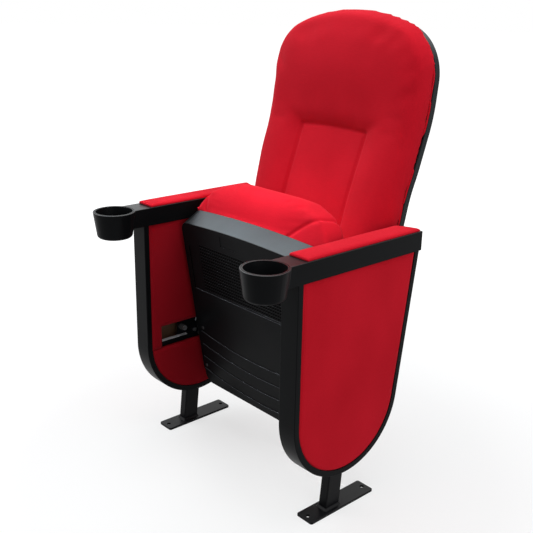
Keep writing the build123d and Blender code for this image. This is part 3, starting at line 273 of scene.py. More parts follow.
def plush(name, colour, dark):
    """Short-pile plush: fine crosswise rows, a soft mottle and a sheen."""
    finish = Finish(name, colour, 0.86)
    mottle = finish.noise((7, 7, 5), 2.0)
    rows = finish.noise((70, 260, 560), 3.0, 0.6)
    pile = finish.noise((1500, 1500, 1500), 2.0, 0.7)
    shade = finish.add("ShaderNodeMath", operation="MULTIPLY_ADD")
    shade.inputs[1].default_value = 0.55
    finish.link(rows, "Fac", shade, 0)
    finish.link(finish.spread(mottle, "Fac", 0.0, 0.45), "Result", shade, 2)
    finish.tint(shade, "Value", dark, colour)
    finish.relief(rows, "Fac", 0.0006, 0.35)
    finish.relief(pile, "Fac", 0.0004, 0.4)
    sockets = finish.shader.inputs
    sockets["Specular IOR Level"].default_value = 0.08
    sockets["Sheen Weight"].default_value = 0.12
    sockets["Sheen Roughness"].default_value = 0.45
    sockets["Sheen Tint"].default_value = (1.0, 0.32, 0.38, 1)
    return finish.material


def moulded(name, colour, roughness, grain=0.12):
    """Moulded plastic with a fine spark grain and slightly uneven gloss."""
    finish = Finish(name, colour, roughness)
    spark = finish.noise((1300, 1300, 1300), 2.0, 0.6)
    haze = finish.noise((9, 9, 14), 3.0)
    finish.tint(haze, "Fac", scaled(colour, 0.8), scaled(colour, 1.25))
    finish.rough(haze, "Fac", roughness - 0.05, roughness + 0.07)
    finish.relief(spark, "Fac", 0.0003, grain)
    finish.relief(finish.noise((26, 26, 26), 1.0), "Fac", 0.0012, 0.05)
    finish.gloss(0.04, 0.5)
    return finish.material


def powder_coat(name, colour):
    """Powder-coated steel with the coat's light orange peel."""
    finish = Finish(name, colour, 0.34)
    peel = finish.noise((420, 420, 420), 2.0, 0.5)
    haze = finish.noise((14, 14, 14), 2.0)
    finish.tint(haze, "Fac", colour, scaled(colour, 1.5))
    finish.rough(haze, "Fac", 0.28, 0.42)
    finish.relief(peel, "Fac", 0.0004, 0.22)
    finish.gloss(0.07, 0.2)
    return finish.material


def strapped(name, colour, zinc):
    """Powder-coated bracket whose strap, a low flat bar, has a painted highlight along its top: a band in
    zinc's colour.
    """
    material = powder_coat(name, colour)
    tree = material.node_tree
    shader = next(n for n in tree.nodes if n.type == "BSDF_PRINCIPLED")
    where = tree.nodes.new("ShaderNodeTexCoord")
    parts = tree.nodes.new("ShaderNodeSeparateXYZ")
    tree.links.new(where.outputs["Object"], parts.inputs["Vector"])
    band = tree.nodes.new("ShaderNodeMath")
    band.operation = "COMPARE"
    band.inputs[1].default_value = STRAP_TOP_Z
    band.inputs[2].default_value = STRAP_HIGHLIGHT_BAND
    tree.links.new(parts.outputs["Z"], band.inputs[0])
    ahead = tree.nodes.new("ShaderNodeMath")
    ahead.operation = "LESS_THAN"
    ahead.inputs[1].default_value = STRAP_REAR_Y
    tree.links.new(parts.outputs["Y"], ahead.inputs[0])
    highlight_mask = tree.nodes.new("ShaderNodeMath")
    highlight_mask.operation = "MULTIPLY"
    tree.links.new(band.outputs[0], highlight_mask.inputs[0])
    tree.links.new(ahead.outputs[0], highlight_mask.inputs[1])
    # the strap's top is painted as a light zinc-coloured band, a painted highlight for the light that its edge
    # catches
    strap_highlight = tree.nodes.new("ShaderNodeBsdfPrincipled")
    strap_highlight.inputs["Base Color"].default_value = (*zinc, 1)
    strap_highlight.inputs["Roughness"].default_value = 0.4
    strap_highlight.inputs["Metallic"].default_value = 0.35
    mix = tree.nodes.new("ShaderNodeMixShader")
    output = next(n for n in tree.nodes if n.type == "OUTPUT_MATERIAL")
    tree.links.new(highlight_mask.outputs[0], mix.inputs[0])
    tree.links.new(shader.outputs[0], mix.inputs[1])
    tree.links.new(strap_highlight.outputs[0], mix.inputs[2])
    tree.links.new(mix.outputs[0], output.inputs["Surface"])
    return material


def plated(name, colour, roughness):
    """Plated or oiled steel with fine turning marks."""
    finish = Finish(name, colour, roughness)
    marks = finish.noise((180, 900, 900), 3.0, 0.6)
    finish.tint(marks, "Fac", scaled(colour, 0.72), colour)
    finish.rough(marks, "Fac", roughness - 0.06, roughness + 0.1)
    finish.relief(marks, "Fac", 0.0002, 0.2)
    finish.shader.inputs["Metallic"].default_value = 1.0
    return finish.material


def ply(name, colour):
    """Bare plywood with a long grain and thin darker plies."""
    finish = Finish(name, colour, 0.62)
    grain = finish.noise((90, 120, 9), 5.0, 0.6)
    plies = finish.add("ShaderNodeTexWave", wave_type="BANDS", bands_direction="X",
                       Scale=115.0, Distortion=1.2)
    finish.link(finish.places((1, 1, 1)), "Vector", plies, "Vector")
    blend = finish.add("ShaderNodeMath", operation="MULTIPLY")
    finish.link(grain, "Fac", blend, 0)
    finish.link(finish.spread(plies, "Fac", 0.7, 1.2, 0.0, 1.0), "Result", blend, 1)
    finish.tint(blend, "Value", scaled(colour, 0.55), scaled(colour, 1.15))
    finish.relief(grain, "Fac", 0.0003, 0.3)
    return finish.material


def cast(name, colour, roughness, cell):
    """A plain soft or cast material: nylon, rubber or open-cell foam."""
    finish = Finish(name, colour, roughness)
    cells = finish.noise((cell, cell, cell), 3.0, 0.6)
    finish.tint(cells, "Fac", scaled(colour, 0.85), scaled(colour, 1.1))
    finish.relief(cells, "Fac", 0.0004, 0.3)
    return finish.material


def hole_painted_shade(name):
    """Painted shade at the bottom of a shallow vent hole: near-black for the shade inside a deep hole."""
    finish = Finish(name, (0.002, 0.002, 0.002), 0.95)
    # a faint random mottle in the painted shade
    shade_mottle = finish.noise((300, 300, 300), 2.0)
    finish.tint(shade_mottle, "Fac", (0.0015, 0.0015, 0.0015), (0.004, 0.004, 0.004))
    finish.shader.inputs["Specular IOR Level"].default_value = 0.05
    return finish.material


def make_finishes():
    """One material for each slot of the record, and a few for new pieces and for the hinge brackets."""
    colours = bpy.context.scene.seat_colours
    return {
        "red_fabric": plush("red_plush", colours.plush, colours.plush_dark),
        # the inner panels take the plush darkened by INNER_SHADE, painted shade for the shade that falls
        # between the standards
        "dark_red_fabric": plush("red_plush_inner_painted_shade", scaled(colours.plush, INNER_SHADE),
                                 scaled(colours.plush_dark, INNER_SHADE)),
        "black_plastic": moulded("black_moulded_plastic", colours.black_plastic, 0.36),
        # a painted highlight for the light caught on the rounded edges of the tray's steps: the black plastic,
        # much lighter
        "edge_painted_highlight": moulded("tray_edge_painted_highlight", scaled(colours.black_plastic, EDGE_PAINTED_HIGHLIGHT), 0.3),
        "grey_plastic": moulded("grey_moulded_plastic", colours.grey_plastic, 0.48, 0.2),
        "black_steel": powder_coat("black_powder_coat", colours.black_steel),
        "bracket_steel_painted_highlight": strapped("bracket_steel_painted_highlight", colours.black_steel, colours.zinc),
        "zinc_steel": plated("zinc_plated_steel", colours.zinc, 0.3),
        "spring_steel": plated("oiled_spring_steel", colours.spring, 0.28),
        "dark_screw": plated("black_oxide_screw", (0.05, 0.05, 0.052), 0.42),
        "plywood": ply("plywood", colours.plywood),
        "nylon": cast("natural_nylon", colours.nylon, 0.42, 900),
        "black_rubber": cast("stop_rubber", colours.rubber, 0.7, 700),
        "foam": cast("open_foam", colours.foam, 0.9, 650),
        "vent_painted_shade": hole_painted_shade("vent_painted_shade"),
    }


FINISHES = {}


def finish_for(slot):
    if not FINISHES:
        FINISHES.update(make_finishes())
    return FINISHES[slot]


# ---- mesh helpers ----
def seat_point(x, f, h):
    """A place on the folded seat: across, forward of the pivot and above it, in metres."""
    return Vector((x, PIVOT.y - f * sin(SEAT_LIFT) + h * cos(SEAT_LIFT),
                   PIVOT.z + f * cos(SEAT_LIFT) + h * sin(SEAT_LIFT)))


def on_seat(point):
    """The (x, f, h) of a point of the folded seat."""
    y, z = point.y - PIVOT.y, point.z - PIVOT.z
    return (point.x, z * cos(SEAT_LIFT) - y * sin(SEAT_LIFT), y * cos(SEAT_LIFT) + z * sin(SEAT_LIFT))


def solid_of(*nodes):
    """A bmesh of CAD nodes with their loose triangles joined."""
    mesh = bmesh.new()
    for node in nodes:
        mesh.from_mesh(frame["nodes"][node].data)
    bmesh.ops.remove_doubles(mesh, verts=mesh.verts, dist=2e-6)
    return mesh


def piece_of(mesh, name, body, slot, smooth=True, extra=()):
    """Makes a bmesh a piece of the object that rides on a body and takes a slot's finish."""
    data = bpy.data.meshes.new(name)
    mesh.to_mesh(data)
    mesh.free()
    piece = bpy.data.objects.new(name, data)
    bpy.context.scene.collection.objects.link(piece)
    for finish in (slot, *extra):
        data.materials.append(finish_for(finish))
    data.polygons.foreach_set("use_smooth", [smooth] * len(data.polygons))
    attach(piece, body)
    return piece


def apply_modifier(piece, modifier):
    with bpy.context.temp_override(object=piece, active_object=piece, selected_objects=[piece]):
        bpy.ops.object.modifier_apply(modifier=modifier.name)


def remeshed(piece, size):
    """Gives a soft piece an even net of quads."""
    remesh = piece.modifiers.new("net", "REMESH")
    remesh.mode = "VOXEL"
    remesh.voxel_size = size
    remesh.use_smooth_shade = True
    apply_modifier(piece, remesh)


def subdivided(piece):
    smooth = piece.modifiers.new("smooth", "SUBSURF")
    smooth.levels = smooth.render_levels = 1
    apply_modifier(piece, smooth)


def moved(piece, shift):
    """Moves each point by what shift gives for its place and normal."""
    mesh = bmesh.new()
    mesh.from_mesh(piece.data)
    mesh.normal_update()
    steps = [(v, shift(v.co.copy(), v.normal.copy())) for v in mesh.verts]
    for vertex, step in steps:
        vertex.co += step
    mesh.to_mesh(piece.data)
    mesh.free()


def relaxed(piece, rounds, keep=lambda place: False):
    """Smooths a soft piece, apart from the points to keep."""
    mesh = bmesh.new()
    mesh.from_mesh(piece.data)
    free = [v for v in mesh.verts if not keep(v.co)]
    for _ in range(rounds):
        bmesh.ops.smooth_vert(mesh, verts=free, factor=0.5, use_axis_x=True, use_axis_y=True, use_axis_z=True)
    mesh.to_mesh(piece.data)
    mesh.free()


def swollen(piece, pressure, cap, held):
    """Blows a soft piece up as cloth, apart from the points held, and caps how far each point moves."""
    group = piece.vertex_groups.new(name="held")
    start = [v.co.copy() for v in piece.data.vertices]
    for index, place in enumerate(start):
        weight = held(place)
        if weight > 0:
            group.add([index], weight, "REPLACE")
    cloth = piece.modifiers.new("filling", "CLOTH")
    settings = cloth.settings
    settings.quality = 5
    settings.mass = 0.3
    settings.tension_stiffness = settings.compression_stiffness = 15
    settings.shear_stiffness = 5
    settings.bending_stiffness = 0.5
    settings.use_pressure = True
    settings.uniform_pressure_force = pressure
    settings.vertex_group_mass = "held"
    settings.effector_weights.gravity = 0
    cloth.collision_settings.use_collision = False
    cloth.collision_settings.use_self_collision = False
    cloth.point_cache.frame_start = 1
    cloth.point_cache.frame_end = CLOTH_FRAMES
    for step in range(1, CLOTH_FRAMES + 1):
        bpy.context.scene.frame_set(step)
    apply_modifier(piece, cloth)
    bpy.context.scene.frame_set(1)
    piece.vertex_groups.clear()
    for vertex, place in zip(piece.data.vertices, start):
        move = vertex.co - place
        most = cap(place)
        if move.length > 1e-9:
            vertex.co = place + move * (most * tanh(move.length / max(most, 1e-6)) / move.length)


def seam_tree(paths, spacing=0.002):
    """A search tree of points closely spaced along seams, with each point's run along its seam."""
    points = []
    for path in paths:
        run = 0.0
        for first, second in zip(path, path[1:]):
            count = max(1, int((second - first).length / spacing))
            for k in range(count):
                points.append((first.lerp(second, k / count), run + k * spacing))
            run += (second - first).length
        points.append((path[-1], run))
    tree = KDTree(len(points))
    for index, (point, _) in enumerate(points):
        tree.insert(point, index)
    tree.balance()
    return tree, [run for _, run in points]


def sewn(piece, paths, depth, width, pucker=0.0005):
    """Pulls a seam line into a soft piece, with slight puckers beside it."""
    tree, runs = seam_tree(paths)

    def shift(place, normal):
        _, index, far = tree.find(place)
        if far > 4 * width:
            return Vector((0, 0, 0))
        valley = depth * exp(-((far / width) ** 2) * 1.6)
        ripple = noise.noise(Vector((runs[index] * 55, far * 20, 1.7)))
        fold = pucker * ripple * exp(-((far / (2 * width) - 1) ** 2) * 2)
        return normal * (fold - valley)

    moved(piece, shift)


def step_between(low, high, value):
    """A smooth step from 0 to 1."""
    t = min(1.0, max(0.0, (value - low) / (high - low)))
    return t * t * (3 - 2 * t)


# ---- seat cushion ----
def seat_seams():
    """The seams of both side gussets: from the lip, over the nose and back along the top.

    The far one lies further out over the nose.
    """
    half = [(0.106, 0.326, 0.018), (0.114, 0.332, 0.022), (0.130, 0.344, 0.030), (0.149, 0.357, 0.040),
            (0.165, 0.366, 0.046), (0.178, 0.371, 0.053), (0.192, 0.370, 0.068), (0.201, 0.364, 0.086),
            (0.206, 0.345, 0.098), (0.208, 0.310, 0.100), (0.208, 0.200, 0.100), (0.207, 0.050, 0.098),
            (0.205, -0.080, 0.096), (0.200, -0.140, 0.090), (0.196, -0.160, 0.060), (0.196, -0.165, 0.028)]
    outer = [(x + 0.8 * (0.222 - x) * step_between(0.30, 0.33, f), f, h) for x, f, h in half]
    return [[seat_point(-x, f, h) for x, f, h in outer], [seat_point(x, f, h) for x, f, h in half]]


def snapped(piece, paths):
    """Seam paths drawn onto a piece's surface."""
    laid = []
    for path in paths:
        points = []
        for first, second in zip(path, path[1:]):
            for k in range(12):
                found, place, _, _ = piece.closest_point_on_mesh(first.lerp(second, k / 12))
                points.append(place.copy() if found else first)
        laid.append(points)
    return laid


class SEAT_OT_cushion(bpy.types.Operator):
    """Seat cushion: a crowned nose over the tray's lip, with a gusset sewn on each side"""

    bl_idname = "seat.cushion"
    bl_label = "Seat cushion"

    def execute(self, context):
        sizes = context.scene.seat_sizes
        cushion = piece_of(solid_of("seat_foam", "seat_board"), "seat_cushion", "seat", "red_fabric")
        remeshed(cushion, sizes.cushion_voxel)

        def shape(place, normal):
            x, f, h = on_seat(place)
            side = 1 - min(1.0, abs(x) / 0.242) ** 2
            along = step_between(-0.17, -0.05, f) * step_between(0.42, 0.30, f)
            crown = 0.004 * side ** 0.7 * along * step_between(0.08, 0.11, h)
            return (seat_point(0, 0, 1) - seat_point(0, 0, 0)) * crown

        moved(cushion, shape)
        relaxed(cushion, 3, lambda place: on_seat(place)[2] < 0.026)
        seams = snapped(cushion, seat_seams())
        tree, _ = seam_tree(seams)

        def held(place):
            if on_seat(place)[2] < 0.03:
                return 1.0
            return 1.0 if tree.find(place)[2] < 0.005 else 0.0

        def cap(place):
            x, _, h = on_seat(place)
            near_side = step_between(0.212, 0.240, abs(x))
            return sizes.cushion_swell * (1 - 0.75 * near_side) * step_between(0.022, 0.045, h)

        swollen(cushion, sizes.pressure, cap, held)
        subdivided(cushion)
        sewn(cushion, snapped(cushion, seat_seams()), sizes.seam_depth, sizes.seam_width)
        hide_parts("seat_cover", "seat_foam")
        return {"FINISHED"}


# ---- back cushion ----
LUMBAR_TOP = 0.843
LUMBAR_FOOT = 0.470
LUMBAR_HALF = 0.1085
LUMBAR_Y = 0.2348
LUMBAR_SLOPE = 0.376
BOLSTER_RISE = 0.0125           # how far the side bolsters stand out
HEAD_RISE = 0.010               # how far the head area stands out
HEAD_Z = 0.99
# y and z along the front rim of the rear shell
BACK_RIM = ((0.193, 0.450), (0.229, 0.715), (0.287, 0.890), (0.311, 1.131))


def lumbar_half(z):
    """Half the width of the lumbar panel at a height."""
    return LUMBAR_HALF - (LUMBAR_TOP - z) * 0.012


def lumbar_y(z):
    """Where the lumbar seams lie from front to rear."""
    return max(LUMBAR_Y - (LUMBAR_TOP - z) * LUMBAR_SLOPE, 0.1365)


def back_seams(piece):
    """The seams round the lumbar panel, laid on the cushion's front."""
    sides = []
    for side in (-1, 1):
        heights = [LUMBAR_FOOT + (LUMBAR_TOP - LUMBAR_FOOT) * k / 40 for k in range(41)]
        sides.append([(side * lumbar_half(z), z) for z in heights])
    top = []
    for k in range(31):
        x = LUMBAR_HALF * (k / 15 - 1)
        top.append((x, LUMBAR_TOP + 0.004 * (1 - (x / LUMBAR_HALF) ** 2)))
    paths = []
    for line in (*sides, top):
        points = []
        for x, z in line:
            hit, place, _, _ = piece.ray_cast(Vector((x, -0.3, z)), Vector((0, 1, 0)))
            points.append(place.copy() if hit else Vector((x, lumbar_y(z), z)))
        paths.append(points)
    return paths


class SEAT_OT_back(bpy.types.Operator):
    """Back cushion: flat lumbar panel between seams, side bolsters and a plain head area"""

    bl_idname = "seat.back"
    bl_label = "Back cushion"

    def execute(self, context):
        sizes = context.scene.seat_sizes
        cushion = piece_of(solid_of("back_foam", "back_board"), "back_cushion", "frame", "red_fabric")
        remeshed(cushion, sizes.cushion_voxel)

        def shape(place, normal):
            facing = step_between(0.15, 0.6, -normal.y)
            x, z = abs(place.x), place.z
            half = lumbar_half(z)
            inside = step_between(half + 0.026, half - 0.002, x)
            inside *= step_between(LUMBAR_TOP + 0.03, LUMBAR_TOP - 0.002, z)
            recess = max(0.0, lumbar_y(z) - place.y)
            bolster_at = half + 0.058
            spread = 0.05 if x < bolster_at else 0.085
            rise = BOLSTER_RISE * exp(-(((x - bolster_at) / spread) ** 2)) * step_between(0.93, 0.74, z)
            rise *= step_between(0.44, 0.52, z)
            head = HEAD_RISE * (1 - min(1.0, x / 0.24) ** 2) * exp(-(((z - HEAD_Z) / 0.075) ** 2))
            forward = (rise + head) * (1 - inside) + 0.0015 * inside
            return Vector((0, (recess * inside - forward) * facing, 0))

        moved(cushion, shape)
        relaxed(cushion, 10, lambda place: place.y > back_rim(place.z) - 0.004)
        tree, _ = seam_tree(back_seams(cushion))

        def held(place):
            if tree.find(place)[2] < 0.006:
                return 1.0
            return 1.0 if place.y > back_rim(place.z) - 0.010 else 0.0

        def cap(place):
            lumbar = step_between(lumbar_half(place.z) + 0.01, lumbar_half(place.z) - 0.02, abs(place.x))
            lumbar *= step_between(LUMBAR_TOP + 0.01, LUMBAR_TOP - 0.03, place.z)
            front = step_between(0.006, 0.03, back_rim(place.z) - place.y)
            return sizes.cushion_swell * front * (1 - 0.7 * lumbar)

        swollen(cushion, sizes.pressure, cap, held)
        relaxed(cushion, 8, lambda place: place.y > back_rim(place.z) - 0.004 or tree.find(place)[2] < 0.008)
        subdivided(cushion)
        sewn(cushion, back_seams(cushion), sizes.seam_depth, sizes.seam_width)
        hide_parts("back_cover", "back_foam")
        return {"FINISHED"}


def back_rim(z):
    """Y of the rear shell's front rim at a height."""
    for (y0, z0), (y1, z1) in zip(BACK_RIM, BACK_RIM[1:]):
        if z <= z1:
            return y0 + (y1 - y0) * (z - z0) / (z1 - z0)
    return BACK_RIM[-1][0]


class SEAT_OT_welt(bpy.types.Operator):
    """Sewn welt where the back's cushion meets its rear shell"""

    bl_idname = "seat.welt"
    bl_label = "Back welt"

    def execute(self, context):
        radius = context.scene.seat_sizes.welt
        shell = frame["nodes"]["back_shell"].data
        rim = [v.co.copy() for v in shell.vertices if abs(v.co.y - back_rim(v.co.z)) < 0.0022]
        middle = Vector((0, 0, 0.79))
        outline = {}
        for point in rim:
            angle = round(atan2(point.x, point.z - middle.z) / radians(2))
            far = Vector((point.x, 0, point.z - middle.z)).length
            if angle not in outline or far > outline[angle][0]:
                outline[angle] = (far, point)
        path = [outline[angle][1] for angle in sorted(outline)]
        curve = bpy.data.curves.new("welt_path", "CURVE")
        curve.dimensions = "3D"
        curve.bevel_depth = radius
        curve.bevel_resolution = 3
        spline = curve.splines.new("NURBS")
        spline.points.add(len(path) - 1)
        for target, point in zip(spline.points, path):
            inwards = (middle - Vector((point.x, 0, point.z))).normalized()
            target.co = (*(point + inwards * (radius + 0.0006) + Vector((0, -radius - 0.0004, 0))), 1)
        spline.use_cyclic_u = True
        spline.order_u = 4
        tube = bpy.data.objects.new("welt_path", curve)
        bpy.context.scene.collection.objects.link(tube)
        mesh = bmesh.new()
        mesh.from_mesh(bpy.data.meshes.new_from_object(tube))
        bpy.data.objects.remove(tube)
        bmesh.ops.remove_doubles(mesh, verts=mesh.verts, dist=1e-5)
        bmesh.ops.recalc_face_normals(mesh, faces=mesh.faces)
        piece_of(mesh, "back_welt", "frame", "red_fabric")
        return {"FINISHED"}


# ---- arm pads ----
class SEAT_OT_arm_pads(bpy.types.Operator):
    """Upholstered arm pads with a slight crown"""

    bl_idname = "seat.arm_pads"
    bl_label = "Arm pads"

    def execute(self, context):
        sizes = context.scene.seat_sizes
        for side in ("left", "right"):
            pad = piece_of(solid_of(side + "_arm_pad"), side + "_arm_cushion", "frame", "red_fabric")
            low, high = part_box(side + "_arm_pad")
            remeshed(pad, sizes.pad_voxel)
            foot, top = low[2], high[2]
            middle = (low[0] + high[0]) / 2

            def shape(place, normal):
                lift = step_between(foot + 0.004, top, place.z)
                crown = 0.0012 * (1 - (abs(place.x - middle) / 0.0305) ** 2) * lift
                return Vector((0, 0, crown))

            moved(pad, shape)

            def cap(place):
                return sizes.pad_swell * step_between(foot, foot + 0.006, place.z)

            def held(place):
                return 1.0 if place.z < foot + 0.0015 else 0.0

            swollen(pad, sizes.pressure, cap, held)
            subdivided(pad)
            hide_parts(side + "_arm_pad_cover", side + "_arm_pad")
        return {"FINISHED"}


# ---- upholstered side panels ----
def outline_face(node, face_x):
    """A bmesh of a cover's flat face alone, as one face with its outline."""
    mesh = solid_of(node)
    away = [f for f in mesh.faces if any(abs(v.co.x - face_x) > FACE_FIT for v in f.verts)]
    bmesh.ops.delete(mesh, geom=away, context="FACES")
    bmesh.ops.dissolve_limit(mesh, angle_limit=radians(1), verts=mesh.verts, edges=mesh.edges)
    return mesh


def padded_panel(node, name, outwards, slot, sizes):
    """Makes a board's padding from its outline: rounded edges, wrapped sides and a slight crown."""
    low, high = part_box(node)
    face_x = high[0] if outwards > 0 else low[0]

    def on_face(vertex):
        return abs(vertex.co.x - face_x) < FACE_FIT

    def off_face(vertex):
        return abs(vertex.co.x - face_x) > OFF_FACE

    def wraps(face):
        return len(face.verts) == 4 and any(off_face(v) for v in face.verts)

    mesh = outline_face(node, face_x)
    border = [e for e in mesh.edges if e.is_boundary]
    turn = bmesh.ops.extrude_edge_only(mesh, edges=border)
    wrapped = [g for g in turn["geom"] if isinstance(g, bmesh.types.BMVert)]
    depth = abs(high[0] - low[0]) - 0.0005
    bmesh.ops.translate(mesh, verts=wrapped, vec=(-outwards * depth, 0, 0))
    rim = [e for e in mesh.edges if len(e.link_faces) == 2
           and all(on_face(v) for v in e.verts) and any(wraps(f) for f in e.link_faces)]
    bmesh.ops.bevel(mesh, geom=rim, offset=sizes.panel_round, offset_type="OFFSET", segments=4, profile=0.5,
                    affect="EDGES", material=-1, clamp_overlap=True)
    for axis, start, stop in ((1, low[1], high[1]), (2, low[2], high[2])):
        count = int((stop - start) / 0.012)
        for k in range(1, count):
            place = [0.0, 0.0, 0.0]
            place[axis] = start + (stop - start) * k / count
            normal = [0.0, 0.0, 0.0]
            normal[axis] = 1.0
            flat = [f for f in mesh.faces if all(on_face(v) for v in f.verts)]
            edges = list({e for f in flat for e in f.edges})
            verts = list({v for f in flat for v in f.verts})
            bmesh.ops.bisect_plane(mesh, geom=verts + edges + flat, plane_co=place, plane_no=normal,
                                   dist=1e-6)
    edge_points = [v.co.copy() for v in mesh.verts if off_face(v)]
    tree = KDTree(len(edge_points))
    for index, point in enumerate(edge_points):
        tree.insert(point, index)
    tree.balance()
    for vertex in mesh.verts:
        if on_face(vertex):
            inward = tree.find(vertex.co)[2]
            rise = sizes.panel_crown * (1 - exp(-inward / 0.035))
            ripple = 0.0003 * noise.noise(vertex.co * 14)
            vertex.co.x += outwards * (rise + ripple * min(1.0, inward / 0.03))
    bmesh.ops.recalc_face_normals(mesh, faces=mesh.faces)
    front = max(mesh.faces, key=lambda f: f.calc_area())
    if front.normal.x * outwards < 0:
        bmesh.ops.reverse_faces(mesh, faces=mesh.faces)
    piece = piece_of(mesh, name, "frame", slot)
    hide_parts(node)


class SEAT_OT_side_panels(bpy.types.Operator):
    """Upholstered boards of both standards"""

    bl_idname = "seat.side_panels"
    bl_label = "Side panels"

    def execute(self, context):
        sizes = context.scene.seat_sizes
        for side, sign in (("left", 1), ("right", -1)):
            padded_panel(side + "_outer_cover", side + "_outer_padding", sign, "red_fabric", sizes)
            for part in ("_inner_upper", "_inner_lower"):
                padded_panel(side + part + "_cover", side + part + "_padding", -sign,
                             "dark_red_fabric", sizes)
        return {"FINISHED"}


# ---- seat tray ----
class SEAT_OT_tray(bpy.types.Operator):
    """Seat tray with rounded edges on its ledge and its stepped arcs"""

    bl_idname = "seat.tray"
    bl_label = "Seat tray"

    def execute(self, context):
        mesh = solid_of("seat_shell")
        mesh.normal_update()
        down = seat_point(0, 0, 0) - seat_point(0, 0, 1)
        forward = seat_point(0, 1, 0) - seat_point(0, 0, 0)
        edges = []
        for edge in mesh.edges:
            if len(edge.link_faces) != 2 or not edge.is_convex:
                continue
            normals = [face.normal for face in edge.link_faces]
            flat = max(n.dot(down) for n in normals)
            riser = max(n.dot(forward) for n in normals)
            if flat > 0.95 and riser > 0.85 and on_seat(edge.verts[0].co)[1] < STEPS_END_F:
                edges.append(edge)
        rounded = bmesh.ops.bevel(mesh, geom=edges, offset=context.scene.seat_sizes.tray_round,
                                  offset_type="OFFSET", segments=2, profile=0.5, affect="EDGES",
                                  material=-1, clamp_overlap=True)
        # the rounded faces take the much lighter plastic, a painted highlight along the steps' edges
        for face in rounded["faces"]:
            face.material_index = 1
        tray = piece_of(mesh, "seat_tray", "seat", "black_plastic", smooth=False, extra=("edge_painted_highlight",))
        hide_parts("seat_shell")
        return {"FINISHED"}


# ---- seat tray's vents ----
class SEAT_OT_vents(bpy.types.Operator):
    """Field of square vent holes in the seat tray"""

    bl_idname = "seat.vents"
    bl_label = "Vent field"

    def execute(self, context):
        sizes = context.scene.seat_sizes
        hole = sizes.vent_hole
        mesh = bmesh.new()
        bmesh.ops.create_grid(mesh, x_segments=sizes.vent_columns, y_segments=sizes.vent_rows, size=0.5)
        width, height = sizes.vent_columns * sizes.vent_pitch, sizes.vent_rows * sizes.vent_pitch
        bmesh.ops.scale(mesh, vec=(width, height, 1), verts=mesh.verts)
        cells = list(mesh.faces)
        bmesh.ops.inset_individual(mesh, faces=cells, thickness=(sizes.vent_pitch - hole) / 2, depth=0)
        sunk = bmesh.ops.extrude_discrete_faces(mesh, faces=cells)["faces"]
        bmesh.ops.translate(mesh, verts=list({v for f in sunk for v in f.verts}), vec=(0, 0, -VENT_SKIN))
        # the holes' floors take the near-black finish, painted shade for the depth of a hole
        for face in sunk:
            face.material_index = 1
        border = [e for e in mesh.edges if e.is_boundary and all(abs(v.co.z) < 1e-6 for v in e.verts)]
        rim = bmesh.ops.extrude_edge_only(mesh, edges=border)["geom"]
        outer = [g for g in rim if isinstance(g, bmesh.types.BMVert)]
        bmesh.ops.scale(mesh, vec=(VENT_PLATE[0] / width, VENT_PLATE[1] / height, 1), verts=outer)
        edge = [g for g in rim if isinstance(g, bmesh.types.BMEdge) and all(v in outer for v in g.verts)]
        skirt = bmesh.ops.extrude_edge_only(mesh, edges=edge)
        low = [g for g in skirt["geom"] if isinstance(g, bmesh.types.BMVert)]
        bmesh.ops.translate(mesh, verts=low, vec=(0, 0, -VENT_SKIN))
        middle = (VENT_BAND_F[0] + VENT_BAND_F[1]) / 2
        for vertex in mesh.verts:
            x, f, out = vertex.co
            vertex.co = seat_point(x, middle - f, TRAY_UNDER_H - VENT_SKIN - 0.0001 - out)
        bmesh.ops.recalc_face_normals(mesh, faces=mesh.faces)
        piece_of(mesh, "vent_field", "seat", "black_plastic", smooth=False, extra=("vent_painted_shade",))
        return {"FINISHED"}


# ---- finishes of the CAD nodes ----
class SEAT_OT_finishes(bpy.types.Operator):
    """Gives every CAD node the finish of its slot, and the brackets one with a painted highlight along the
    strap's top
    """

    bl_idname = "seat.finishes"
    bl_label = "Finishes"

    def execute(self, context):
        slots = {entry["node"]: entry["material_slot"] for entry in frame["record"]["subparts"]}
        for name, node in frame["nodes"].items():
            node.data.materials.clear()
            # the brackets take the powder coat with the strap's painted highlight
            slot = "bracket_steel_painted_highlight" if name.endswith("seat_bracket") else slots[name]
            node.data.materials.append(finish_for(slot))
        return {"FINISHED"}


